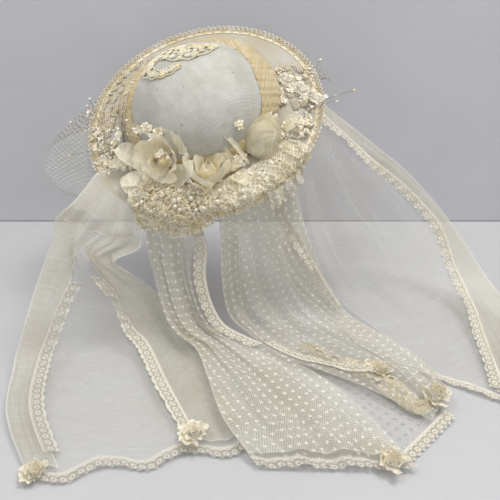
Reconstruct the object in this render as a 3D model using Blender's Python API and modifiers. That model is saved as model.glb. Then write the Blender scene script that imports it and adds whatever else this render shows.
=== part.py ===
"""A bridal picture hat: a domed crown on a round brim, dressed at the back with organza roses,
pearl sprays and net poufs, with a face veil round the front and four veil panels that fall from the
brim and lie on the surface below it. Metres, +Z up. The origin is the middle of the head opening,
the wearer faces +Y and the hat is tipped back and to one side, as it is worn."""

from math import ceil, cos, pi, radians, sin

import bmesh
import bpy
from mathutils import Matrix, Vector

# How the hat sits on the head
BACK_TILT = radians(34.8)
SIDE_TILT = radians(-11.9)
FALL_HEIGHT = 0.250  # of the head opening over the surface that the veils lie on

# Crown and brim
CROWN_RADIUS = 0.086
CROWN_HEIGHT = 0.080
CROWN_ROUNDNESS = 2.35  # exponent of the dome's superellipse: 2 is a half ball, 4 nearly a box
CLOTH_WALL = 0.002
BRIM_RADIUS = 0.148
BRIM_WALL = 0.0026
BRIM_SEAT = 0.003  # height of the brim's middle where it meets the crown
BRIM_DROP = 0.004  # how much lower the rim is
SEAM_GAP = 0.0003
SEWN_GAP = 0.0005  # between a trimming and the cloth that it is sewn to
ROUND_STEPS = 40

# Trimmings on the brim and the crown
BRAID_WIDTH = 0.008
BRAID_HEIGHT = 0.0022
BRAID_OVERHANG = 0.0025
BRAID_SCALLOPS = 44
BAND_HEIGHT = 0.026
BAND_BULGE = 0.015
BAND_BULGE_UNDER_ROSES = 0.004
BAND_CLOTH = 0.001
BAND_PLEATS = 24
BAND_PLEAT_DEPTH = 0.0014
BAND_LEAN = radians(10)  # how far a pleat turns round the crown from its foot to its top
APPLIQUE_CLOTH = 0.0014
APPLIQUE_WIDTH = 0.024

# Flowers, leaves and sprays
ROSE_RADIUS = 0.0265
ROSE_DEPTH = 0.020
ROSE_CLOTH = 0.0011
ROSE_TURNS = 2.3
ROSE_RISE = radians(45)  # how far a rose on the crown's side looks up
BUD_RADIUS = 0.019
LEAF_CLOTH = 0.0012
LEAF_LENGTH = 0.040
LEAF_WIDTH = 0.020
WIRE_ARCH = 0.28  # how far the first wire of a spray bows up, as a share of its length
WIRE_RADIUS = 0.0006
PEARL_RADIUS = 0.0023
KNOT_RADIUS = 0.0022

# Net and veils
NET_CLOTH = 0.0010
POUF_START = 0.32  # share of the way from the crown to the rim
POUF_RISE = 0.0085
POUF_OVERHANG = 0.011
POUF_HANG = 0.018
POUF_PLEAT_DEPTH = 0.0022
FACE_VEIL_OUT = 0.064
FACE_VEIL_DROP = 0.100
VEIL_CLOTH = 0.0010
VEIL_SEAM_WIDTH = 0.008  # how far in from the rim a veil is sewn under the brim
VEIL_OVER_START = 0.61  # share of the way to the rim where the left panel is sewn on top
PLAIN_REACH_LEFT = 0.214
PLAIN_REACH_RIGHT = 0.408
DOTTED_REACH_RIGHT = 0.275
FRONT_REACH = 0.345
LACE_WIDTH = 0.011
LACE_CLOTH = 0.0010

HAT = Matrix.Rotation(SIDE_TILT, 4, "Y") @ Matrix.Rotation(BACK_TILT, 4, "X")
DOWN = Vector((0, 0, -1))
UP = Vector((0, 0, 1))

IVORY = (0.80, 0.74, 0.58)
CREAM = (0.86, 0.82, 0.70)
SILVER_WHITE = (0.74, 0.75, 0.75)
GOLD_IVORY = (0.80, 0.66, 0.40)
PEARL = (0.82, 0.80, 0.74)


def clear_scene():
    for obj in list(bpy.data.objects):
        bpy.data.objects.remove(obj)


def new_collection(name, hidden=False):
    collection = bpy.data.collections.new(name)
    bpy.context.scene.collection.children.link(collection)
    collection.hide_render = hidden
    return collection


def principled(name, colour, roughness):
    material = bpy.data.materials.new(name)
    material.use_nodes = True
    shader = material.node_tree.nodes["Principled BSDF"]
    shader.inputs["Base Color"].default_value = (*colour, 1)
    shader.inputs["Roughness"].default_value = roughness
    return material


def add_object(name, mesh, material, collection):
    obj = bpy.data.objects.new(name, mesh)
    mesh.materials.append(material)
    collection.objects.link(obj)
    return obj


def smoothstep(low, high, value):
    share = min(1.0, max(0.0, (value - low) / (high - low)))
    return share * share * (3 - 2 * share)


def read_table(rows, at):
    """One smooth reading of a table whose first column is the position: the other columns at `at`."""
    last = len(rows) - 1
    index = 0
    while index < last - 1 and at > rows[index + 1][0]:
        index += 1
    before, start, end, after = (rows[min(last, max(0, index + k))] for k in (-1, 0, 1, 2))
    span = end[0] - start[0]
    share = (at - start[0]) / span
    if at > rows[last][0]:
        return [b + (b - a) * (share - 1) for a, b in zip(start[1:], end[1:])]
    found = []
    for a, b, c, d in zip(before[1:], start[1:], end[1:], after[1:]):
        leave = (c - a) / 2
        arrive = (d - b) / 2
        curve = 2 * b - 2 * c + leave + arrive
        bend = -3 * b + 3 * c - 2 * leave - arrive
        found.append(((curve * share + bend) * share + leave) * share + b)
    return found


def cloth_piece(name, surface, columns, rows, thickness, material, collection, closed=False):
    """A sheet of cloth: a grid laid out by surface(along, across), both 0 to 1, and given its wall.
    A closed sheet meets itself, as a band does."""
    mesh = bpy.data.meshes.new(name)
    grid = bmesh.new()
    bmesh.ops.create_grid(grid, x_segments=columns, y_segments=rows, size=0.5)
    for vert in grid.verts:
        vert.co = surface(vert.co.x + 0.5, vert.co.y + 0.5)
    if closed:
        bmesh.ops.remove_doubles(grid, verts=grid.verts, dist=1e-6)
    grid.to_mesh(mesh)
    grid.free()
    obj = add_object(name, mesh, material, collection)
    wall = obj.modifiers.new("wall", "SOLIDIFY")
    wall.thickness = thickness
    wall.offset = 0
    return obj


def turned_piece(name, profile, closed_profile, material, collection):
    """A profile in the XZ plane, turned round Z in the hat's own frame."""
    mesh = bpy.data.meshes.new(name)
    edges = [(i, i + 1) for i in range(len(profile) - 1)]
    if closed_profile:
        edges.append((len(profile) - 1, 0))
    mesh.from_pydata([(radius, 0, height) for radius, height in profile], edges, [])
    obj = add_object(name, mesh, material, collection)
    turn = obj.modifiers.new("turn", "SCREW")
    turn.angle = 2 * pi
    turn.steps = turn.render_steps = ROUND_STEPS
    turn.use_merge_vertices = True
    turn.merge_threshold = 1e-5
    turn.use_normal_calculate = False
    obj.matrix_world = HAT
    return obj


def crown_radius_at(height, radius=CROWN_RADIUS, top=CROWN_HEIGHT):
    share = min(1.0, max(0.0, height / top))
    return radius * (1 - share**CROWN_ROUNDNESS) ** (1 / CROWN_ROUNDNESS)


def brim_inner_radius():
    return CROWN_RADIUS + SEAM_GAP


def brim_middle(radius):
    inner = brim_inner_radius()
    share = max(0.0, (radius - inner) / (BRIM_RADIUS - inner))
    return BRIM_SEAT - BRIM_DROP * share**1.5


def brim_top(radius):
    return brim_middle(radius) + BRIM_WALL / 2


def brim_radius_at(share):
    """The radius at a share of the way from the crown to the rim; over 1 it is past the rim."""
    return CROWN_RADIUS + (BRIM_RADIUS - CROWN_RADIUS) * share


def on_hat(angle, radius, height):
    """A point of the hat's own frame, given round its axis, brought to where the hat sits."""
    return HAT @ Vector((radius * cos(angle), radius * sin(angle), height))


def dome_point(turn, radius=CROWN_RADIUS, height=CROWN_HEIGHT):
    """A point of the dome's outline: turn runs from 0 at the opening to a right angle at the top."""
    sharpness = 2 / CROWN_ROUNDNESS
    return radius * max(0.0, cos(turn)) ** sharpness, height * max(0.0, sin(turn)) ** sharpness


def dome_profile(radius, height):
    """The dome's outline from its top down to the opening."""
    steps = 9
    return [(0.0, height)] + [
        dome_point(pi / 2 * (1 - step / steps), radius, height) for step in range(1, steps + 1)
    ]


def make_crown(material, collection):
    outer = dome_profile(CROWN_RADIUS, CROWN_HEIGHT)
    inner = dome_profile(CROWN_RADIUS - CLOTH_WALL, CROWN_HEIGHT - CLOTH_WALL)
    return turned_piece("crown", outer + inner[::-1], False, material, collection)


def make_brim(material, collection):
    rings = 3
    inner = brim_inner_radius()
    radii = [inner + (BRIM_RADIUS - inner) * k / rings for k in range(rings + 1)]
    above = [(radius, brim_middle(radius) + BRIM_WALL / 2) for radius in radii]
    below = [(radius, brim_middle(radius) - BRIM_WALL / 2) for radius in reversed(radii)]
    return turned_piece("brim", above + below, True, material, collection)


def make_rim_braid(material, collection):
    """The looped braid round the rim: a flat ring whose outer edge runs in scallops."""
    samples = 2 * BRAID_SCALLOPS

    def surface(along, across):
        step = round(along * samples)
        angle = 2 * pi * step / samples
        loop = BRAID_OVERHANG if step % 2 else 0.0
        radius = BRIM_RADIUS + loop - BRAID_WIDTH * (1 - across)
        lift = SEWN_GAP + BRAID_HEIGHT / 2
        return on_hat(angle, radius, brim_top(min(radius, BRIM_RADIUS)) + lift)

    return cloth_piece(
        "rim_braid", surface, samples, 1, BRAID_HEIGHT, material, collection, closed=True
    )


# Where the band stands out full and where the roses press it flat: angle round the crown, fullness
BAND_FULLNESS = [
    (radians(-40), 0.0),
    (radians(-15), 0.75),
    (radians(20), 1.0),
    (radians(160), 1.0),
    (radians(190), 0.7),
    (radians(215), 0.0),
    (radians(320), 0.0),
]


def band_bulge(angle):
    share = read_table(BAND_FULLNESS, angle)[0]
    return BAND_BULGE_UNDER_ROSES + (BAND_BULGE - BAND_BULGE_UNDER_ROSES) * share


def make_crown_band(material, collection):
    """The gathered band at the crown's foot, with pleats that lean round the crown."""

    def surface(along, across):
        angle = 2 * pi * along - radians(40)
        foot = brim_top(CROWN_RADIUS) + BAND_CLOTH / 2 + SEWN_GAP
        height = foot + (BAND_HEIGHT - foot) * across
        pleat = BAND_PLEAT_DEPTH * sin(BAND_PLEATS * (angle + BAND_LEAN * across) + 1)
        rounded = sin(pi * (0.12 + 0.80 * across)) ** 0.7
        inside = crown_radius_at(height) + SEWN_GAP + BAND_CLOTH / 2
        fullness = band_bulge(angle if angle < radians(320) else angle - 2 * pi)
        radius = inside + (fullness - BAND_CLOTH) * rounded + pleat * rounded * fullness / BAND_BULGE
        return on_hat(angle, radius, height)

    return cloth_piece(
        "crown_band", surface, 2 * BAND_PLEATS, 3, BAND_CLOTH, material, collection, closed=True
    )


# The lace on the dome, from its curled end on the left over the front: share of its length, angle
# round the crown, how far up the dome, width share
CROWN_LACE_ROUTE = [
    (0.00, radians(182), radians(66), 0.40),
    (0.18, radians(166), radians(55), 0.85),
    (0.40, radians(145), radians(45), 1.00),
    (0.62, radians(118), radians(55), 1.15),
    (0.82, radians(90), radians(64), 1.10),
    (1.00, radians(58), radians(57), 0.45),
]


def make_crown_lace(material, collection):
    """A lace motif sewn over the front of the dome, wider and narrower as its flowers follow."""
    flowers = 5

    def surface(along, across):
        angle, turn, width = read_table(CROWN_LACE_ROUTE, along)
        width *= APPLIQUE_WIDTH * (0.85 + 0.15 * cos(2 * pi * flowers * along))
        turn += (across - 0.5) * width / CROWN_RADIUS
        out = SEWN_GAP + APPLIQUE_CLOTH
        return on_hat(angle, *dome_point(turn, CROWN_RADIUS + out, CROWN_HEIGHT + out))

    return cloth_piece(
        "crown_lace", surface, 4 * flowers, 2, APPLIQUE_CLOTH, material, collection
    )


def make_brim_lace(name, start, end, narrow, material, collection):
    """A lace motif that lies flat on the brim between the band and the braid."""
    flowers = 3

    def surface(along, across):
        angle = start + (end - start) * along
        inner = CROWN_RADIUS + BAND_BULGE + 3 * SEWN_GAP + narrow
        outer = BRIM_RADIUS - BRAID_WIDTH - 4 * SEWN_GAP
        swell = sin(pi * (0.08 + 0.84 * along)) ** 0.5
        swell *= 0.88 + 0.12 * cos(2 * pi * flowers * along)
        radius = (inner + outer) / 2 + (outer - inner) * (across - 0.5) * swell
        return on_hat(angle, radius, brim_top(radius) + SEWN_GAP + APPLIQUE_CLOTH / 2)

    return cloth_piece(name, surface, 4 * flowers, 2, APPLIQUE_CLOTH, material, collection)


def standing_frame(angle, foot, rise):
    """A frame at a point beside the crown, its Z looking outwards and up by `rise`."""
    out = HAT.to_3x3() @ Vector((cos(angle) * cos(rise), sin(angle) * cos(rise), sin(rise)))
    turn = out.to_track_quat("Z", "Y").to_matrix().to_4x4()
    return Matrix.Translation(foot) @ turn


# The rolled rose from its heart outwards: share of its cloth, then shares of its radius at the foot,
# at half height and at the lip, and the lip's height share
ROSE_ROLL = [
    (0.00, 0.05, 0.08, 0.07, 0.90),
    (0.30, 0.12, 0.26, 0.24, 1.00),
    (0.55, 0.18, 0.52, 0.54, 0.96),
    (0.78, 0.24, 0.76, 0.86, 0.84),
    (1.00, 0.30, 0.92, 1.08, 0.62),
]
ROSE_FLARE = 0.07  # how far a petal's middle stands out from the roll


def rose_seat(height, radius, depth):
    """How far from the crown's axis a rose's foot lies, so that it rests on the crown and the band."""
    foot, belly, lip, lip_height = ROSE_ROLL[-1][1:]
    seat = 0.0
    for reach, rise in ((foot, 0.0), (belly, 0.5 * lip_height), (lip, lip_height)):
        across = radius * reach * (1 + ROSE_FLARE)
        for side in (-1, 1):
            out = depth * rise * cos(ROSE_RISE) - side * across * sin(ROSE_RISE)
            up = height + depth * rise * sin(ROSE_RISE) + side * across * cos(ROSE_RISE)
            wall = crown_radius_at(up)
            if up < BAND_HEIGHT:
                wall += BAND_BULGE_UNDER_ROSES
            seat = max(seat, wall - out)
    return seat + ROSE_CLOTH / 2 + SEWN_GAP


def make_rose(name, angle, height, radius, depth, material, collection):
    """An organza rose: one strip of cloth rolled outwards, its lip opening turn by turn."""
    petals = 2.5
    seat = rose_seat(height, radius, depth)
    frame = standing_frame(angle, on_hat(angle, seat, height), ROSE_RISE)

    def surface(along, across):
        foot, belly, lip, lip_height = read_table(ROSE_ROLL, along)
        turn = 2 * pi * ROSE_TURNS * along
        wave = cos(petals * turn) * along
        section = [(0.0, foot), (0.5, belly), (1.0, lip)]
        reach = radius * read_table(section, across)[0] * (1 + ROSE_FLARE * wave * across)
        rise = depth * lip_height * across * (1 - 0.12 * wave * across)
        return frame @ Vector((reach * cos(turn), reach * sin(turn), rise))

    return cloth_piece(name, surface, ceil(11 * ROSE_TURNS), 3, ROSE_CLOTH, material, collection)


def make_leaf(name, angle, share, heading, length, width, rise, material, collection):
    """An organza leaf that arches up from the brim, cupped along its middle."""
    radius = brim_radius_at(share)
    foot = on_hat(angle, radius, brim_top(radius) + SEWN_GAP + LEAF_CLOTH / 2)
    out = Vector((cos(heading), sin(heading), 0))
    side = Vector((-sin(heading), cos(heading), 0))

    def surface(along, across):
        half = width / 2 * (0.22 + 0.78 * sin(pi * (0.06 + 0.88 * along)))
        cup = width * 0.22 * (2 * across - 1) ** 2 * sin(pi * along)
        arch = rise * sin(pi * 0.55 * along)
        flat = out * length * along + side * half * (2 * across - 1) + UP * (arch + cup)
        return foot + HAT.to_3x3() @ flat

    return cloth_piece(name, surface, 7, 4, LEAF_CLOTH, material, collection)


def pearl_branch(name, points, collection):
    """A wire through the points that swells into a round pearl at its tip."""
    curve = bpy.data.curves.new(name, "CURVE")
    curve.dimensions = "3D"
    curve.bevel_depth = 1.0
    curve.bevel_resolution = 2
    curve.use_fill_caps = True
    tip = points[-1]
    along = (points[-1] - points[-2]).normalized()
    rings = 5
    steps = [(point, WIRE_RADIUS) for point in points[:-1]]
    for ring in range(1, rings):
        turn = pi * ring / rings
        steps.append((tip - along * PEARL_RADIUS * cos(turn), PEARL_RADIUS * sin(turn)))
    spline = curve.splines.new("POLY")
    spline.points.add(len(steps) - 1)
    for target, (point, radius) in zip(spline.points, steps):
        target.co = (*point, 1)
        target.radius = radius
    source = bpy.data.objects.new(name + "_line", curve)
    collection.objects.link(source)
    graph = bpy.context.evaluated_depsgraph_get()
    mesh = bpy.data.meshes.new_from_object(source.evaluated_get(graph))
    bpy.data.objects.remove(source)
    welded = bmesh.new()
    welded.from_mesh(mesh)
    bmesh.ops.remove_doubles(welded, verts=welded.verts, dist=1e-7)
    welded.to_mesh(mesh)
    welded.free()
    branch = bpy.data.objects.new(name, mesh)
    collection.objects.link(branch)
    branch.hide_render = True
    branch.display_type = "WIRE"
    return branch


def make_spray(name, angle, share, tips, material, collection, helpers):
    """Pearls on bent wires that leave one knot on the brim. A tip is its angle, its share of the way
    to the rim and its height."""
    radius = brim_radius_at(share)
    mesh = bpy.data.meshes.new(name)
    knot = bmesh.new()
    foot = brim_top(radius) + SEWN_GAP + KNOT_RADIUS
    bmesh.ops.create_uvsphere(
        knot,
        u_segments=8,
        v_segments=5,
        radius=KNOT_RADIUS,
        matrix=Matrix.Translation(on_hat(angle, radius, foot)),
    )
    knot.to_mesh(mesh)
    knot.free()
    obj = add_object(name, mesh, material, collection)
    for index, (tip_angle, tip_share, tip_height) in enumerate(tips):
        centre = on_hat(angle, radius, foot)
        tip = on_hat(tip_angle, brim_radius_at(tip_share), tip_height)
        start = centre + (tip - centre).normalized() * KNOT_RADIUS * 0.35
        arch = WIRE_ARCH * (1 + 0.45 * index) * (tip - start).length
        lift = on_hat(0, 0, arch) - on_hat(0, 0, 0)
        middle = (start + tip) / 2 + lift
        points = []
        steps = 3
        for step in range(steps + 1):
            share = step / steps
            points.append(
                start * (1 - share) ** 2 + middle * 2 * share * (1 - share) + tip * share**2
            )
        join = obj.modifiers.new(f"branch {index}", "BOOLEAN")
        join.operation = "UNION"
        join.object = pearl_branch(f"{name}_wire_{index}", points, helpers)
    return obj


# The pouf's section from its sewn edge outwards: share, share of the way to the rim, lift, pleat depth
POUF_SECTION = [
    (0.00, 0.00, 0.00, 0.0),
    (0.18, 0.22, 0.42, 0.3),
    (0.42, 0.62, 0.96, 0.8),
    (0.66, 1.04, 0.92, 1.0),
    (0.84, 1.26, 0.20, 1.0),
    (1.00, 1.30, -0.50, 1.0),
]


def make_pouf(name, start, end, pleats, shift, material, collection):
    """A gathered net frill: sewn to the brim, it stands up, arches over the braid and hangs."""

    def surface(along, across):
        angle = start + (end - start) * along
        outward, lift, depth = read_table(POUF_SECTION, across)
        start_radius = brim_radius_at(POUF_START)
        radius = start_radius + (BRIM_RADIUS - start_radius) * min(outward, 1.04)
        free = smoothstep(0, 0.14, along) * smoothstep(1, 0.72, along)
        radius += POUF_OVERHANG * (0.3 + 0.7 * free) * smoothstep(0.9, 1.3, outward)
        edge = brim_top(min(radius, BRIM_RADIUS))
        height = edge + SEWN_GAP + NET_CLOTH / 2 + (POUF_RISE + BRAID_HEIGHT) * lift
        wave = sin(2 * pi * pleats * along + shift + 1.4 * across)
        wave += 0.4 * sin(2 * pi * 0.6 * pleats * along + 2 * shift)
        pleat = POUF_PLEAT_DEPTH * depth * wave
        hang = POUF_HANG * (0.35 + 0.65 * free) * smoothstep(0.78, 1.0, across)
        point = on_hat(angle, radius + pleat * smoothstep(0.6, 0.9, across), height + pleat * 0.6)
        return point + DOWN * hang

    return cloth_piece(name, surface, 4 * pleats, 5, NET_CLOTH, material, collection)


# The face veil round the front: share of its length, how far it stands out, how far it drops
FACE_VEIL_HANG = [
    (0.00, 0.26, 0.10),
    (0.08, 0.36, 0.38),
    (0.22, 0.42, 0.80),
    (0.42, 0.50, 1.00),
    (0.60, 0.66, 0.92),
    (0.74, 0.94, 0.66),
    (0.86, 1.00, 0.44),
    (0.95, 0.62, 0.26),
    (1.00, 0.24, 0.12),
]
FACE_VEIL_START = radians(12)
FACE_VEIL_END = radians(214)


def make_face_veil(material, collection):
    """Open net sewn under the front of the brim, standing away from the face as stiff net does."""

    def surface(along, across):
        angle = FACE_VEIL_START + (FACE_VEIL_END - FACE_VEIL_START) * along
        out_share, drop_share = read_table(FACE_VEIL_HANG, along)
        clear = 0.2
        radius = BRIM_RADIUS - BRAID_WIDTH / 2
        below = brim_middle(radius) - BRIM_WALL / 2 - SEWN_GAP - NET_CLOTH / 2
        radius += (BRAID_WIDTH / 2 + 2 * BRAID_OVERHANG) * min(1, across / clear)
        top = on_hat(angle, radius, below - SEWN_GAP * min(1, across / clear))
        level_out = Vector((top.x, top.y, 0)).normalized()
        hang = max(0.0, (across - clear) / (1 - clear))
        out = FACE_VEIL_OUT * out_share * sin(pi / 2 * hang) ** 1.2
        drop = FACE_VEIL_DROP * drop_share * hang**1.25
        ripple = 0.003 * hang * sin(2 * pi * 7 * along)
        return top + level_out * (out + ripple) + DOWN * drop

    return cloth_piece("face_veil", surface, 30, 5, NET_CLOTH, material, collection)


# Each veil panel's two side edges from the hat to the hem. A row gives the share of the length, then
# left, front and down for one edge and for the other, then swell and pleat depth. Left and right are
# shares of the panel's own reach, front of FRONT_REACH, down of FALL_HEIGHT, and the last two of the
# panel's own fullness. The first row is only the way out from the brim, which sets where it starts.
PLAIN_LEFT_ROWS = [
    (0.00, -0.50, 0.26, 0.27, -0.50, 0.26, 0.30, 0.0, 0.0),
    (0.10, -0.60, 0.27, 0.29, -0.45, 0.285, 0.36, 0.2, 0.4),
    (0.22, -0.76, 0.28, 0.35, -0.34, 0.34, 0.49, 0.3, 0.8),
    (0.33, -0.84, 0.30, 0.42, -0.46, 0.37, 0.55, 0.3, 1.0),
    (0.44, -0.90, 0.35, 0.55, -0.44, 0.37, 0.65, 0.2, 0.9),
    (0.58, -0.95, 0.46, 0.74, -0.31, 0.35, 0.82, 0.1, 0.7),
    (0.72, -0.99, 0.58, 0.94, -0.13, 0.41, 0.955, 0.0, 0.5),
    (0.86, -0.88, 0.78, 0.965, 0.04, 0.61, 0.965, 0.0, 0.4),
    (1.00, -0.68, 0.98, 0.965, 0.23, 0.84, 0.965, 0.0, 0.3),
]
PLAIN_RIGHT_ROWS = [
    (0.00, 0.33, 0.18, 0.12, 0.38, -0.02, -0.04, 0.0, 0.0),
    (0.10, 0.325, 0.18, 0.20, 0.42, -0.03, 0.02, 0.2, 0.3),
    (0.24, 0.335, 0.18, 0.38, 0.54, -0.05, 0.18, 0.3, 0.6),
    (0.40, 0.37, 0.17, 0.62, 0.66, -0.06, 0.34, 0.4, 0.9),
    (0.56, 0.43, 0.14, 0.86, 0.80, -0.02, 0.58, 0.3, 1.0),
    (0.70, 0.50, 0.22, 0.955, 0.92, 0.10, 0.84, 0.1, 0.7),
    (0.85, 0.58, 0.38, 0.965, 0.98, 0.32, 0.955, 0.0, 0.4),
    (1.00, 0.66, 0.56, 0.965, 0.99, 0.62, 0.965, 0.0, 0.3),
]
DOTTED_LEFT_ROWS = [
    (0.00, -0.22, 0.30, 0.38, -0.05, 0.31, 0.39, 0.0, 0.0),
    (0.12, -0.21, 0.305, 0.47, -0.04, 0.32, 0.49, 0.1, 0.4),
    (0.26, -0.17, 0.35, 0.64, -0.01, 0.35, 0.65, 0.2, 0.9),
    (0.40, -0.10, 0.43, 0.82, 0.05, 0.38, 0.81, 0.2, 1.0),
    (0.52, -0.02, 0.50, 0.905, 0.14, 0.41, 0.905, 0.0, 0.9),
    (0.66, 0.04, 0.64, 0.915, 0.32, 0.52, 0.915, 0.0, 0.8),
    (0.84, 0.12, 0.82, 0.915, 0.56, 0.70, 0.92, 0.0, 0.8),
    (1.00, 0.22, 0.94, 0.92, 0.76, 0.94, 0.925, 0.0, 0.7),
]
DOTTED_RIGHT_ROWS = [
    (0.00, 0.09, 0.33, 0.36, 0.38, 0.24, 0.16, 0.0, 0.0),
    (0.12, 0.085, 0.33, 0.47, 0.40, 0.25, 0.30, 0.1, 0.4),
    (0.28, 0.085, 0.33, 0.66, 0.46, 0.27, 0.52, 0.2, 0.9),
    (0.42, 0.11, 0.34, 0.85, 0.55, 0.28, 0.74, 0.2, 1.0),
    (0.55, 0.20, 0.38, 0.955, 0.66, 0.32, 0.90, 0.1, 0.9),
    (0.70, 0.36, 0.50, 0.972, 0.80, 0.43, 0.93, 0.0, 0.8),
    (0.85, 0.54, 0.72, 0.972, 0.92, 0.55, 0.94, 0.0, 0.8),
    (1.00, 0.76, 0.93, 0.972, 1.00, 0.70, 0.955, 0.0, 0.6),
]


class Panel:
    """One veil panel as a surface: along runs from the hat to the hem, across from edge to edge."""

    def __init__(self, rows, reach, start, end, over, pleats, pleat_depth, swell, shift=0.0):
        self.rows = rows
        self.reach = reach
        self.start = start
        self.end = end
        self.over = over
        self.pleats = pleats
        self.pleat_depth = pleat_depth
        self.swell = swell
        self.shift = shift

    def sewn_edge(self, across):
        """Where the panel is sewn to the brim: on top of it, or under it."""
        angle = self.start + (self.end - self.start) * across
        gap = SEWN_GAP + VEIL_CLOTH / 2
        if self.over:
            radius = brim_radius_at(VEIL_OVER_START)
            return on_hat(angle, radius, brim_top(radius) + gap)
        radius = BRIM_RADIUS - VEIL_SEAM_WIDTH
        return on_hat(angle, radius, brim_middle(radius) - BRIM_WALL / 2 - gap)

    def rim_crossing(self, across):
        """Where a panel that is sewn on top clears the braid on the rim."""
        angle = self.start + (self.end - self.start) * across
        radius = BRIM_RADIUS + BRAID_OVERHANG
        return on_hat(angle, radius, brim_top(BRIM_RADIUS) + 3 * BRAID_HEIGHT)

    def hanging(self, along, across):
        one_x, one_y, one_z, two_x, two_y, two_z, swell, depth = read_table(self.rows, along)
        one = Vector((one_x * self.reach, -one_y * FRONT_REACH, -one_z * FALL_HEIGHT))
        two = Vector((two_x * self.reach, -two_y * FRONT_REACH, -two_z * FALL_HEIGHT))
        point = one.lerp(two, across)
        level_out = Vector((point.x, point.y, 0)).normalized()
        lying = smoothstep(0.85 * FALL_HEIGHT, 0.97 * FALL_HEIGHT, -point.z)
        facing = (level_out * (1 - lying) + UP * lying).normalized()
        wave = sin(2 * pi * self.pleats * across + self.shift + 1.3 * along)
        wave += 0.35 * sin(2 * pi * 2.6 * self.pleats * across + 2.1 * self.shift - 2.0 * along)
        point += facing * self.swell * swell * 4 * across * (1 - across)
        point += facing * self.pleat_depth * depth * (wave * (1 - 0.5 * lying) + 0.5 * lying)
        return point

    def point(self, along, across):
        if self.over:
            leaving, crossing = 0.06, 0.15
            if along < leaving:
                share = smoothstep(0, leaving, along)
                return self.sewn_edge(across).lerp(self.rim_crossing(across), share)
            share = smoothstep(leaving, crossing, along)
            return self.rim_crossing(across).lerp(self.hanging(along, across), share)
        share = smoothstep(0, 0.16, along)
        fall = DOWN * FALL_HEIGHT * 0.6 * along
        return (self.sewn_edge(across) + fall).lerp(self.hanging(along, across), share)


def past_hem(panel, across, distance):
    """The panel's surface continued beyond its hem by a distance."""
    step = 0.02
    pace = (panel.point(1 + step, across) - panel.point(1, across)).length / step
    return panel.point(1 + distance / pace, across)


def make_veil(name, panel, columns, rows, material, collection):
    """The panel's cloth, stopping short of the hem, where its lace takes over."""
    return cloth_piece(
        name,
        lambda across, along: panel.point(along, across),
        columns, rows, VEIL_CLOTH, material, collection,
    )


def make_hem_lace(name, panel, columns, material, collection):
    """The lace along the hem, in line with the cloth and a seam's gap beyond it."""
    scallop = 0.0012

    def surface(across, along):
        wave = scallop * cos(pi * round(across * columns)) * along
        return past_hem(panel, across, SEAM_GAP + VEIL_CLOTH / 2 + LACE_WIDTH * along + wave)

    return cloth_piece(name, surface, columns, 1, LACE_CLOTH, material, collection)


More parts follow.
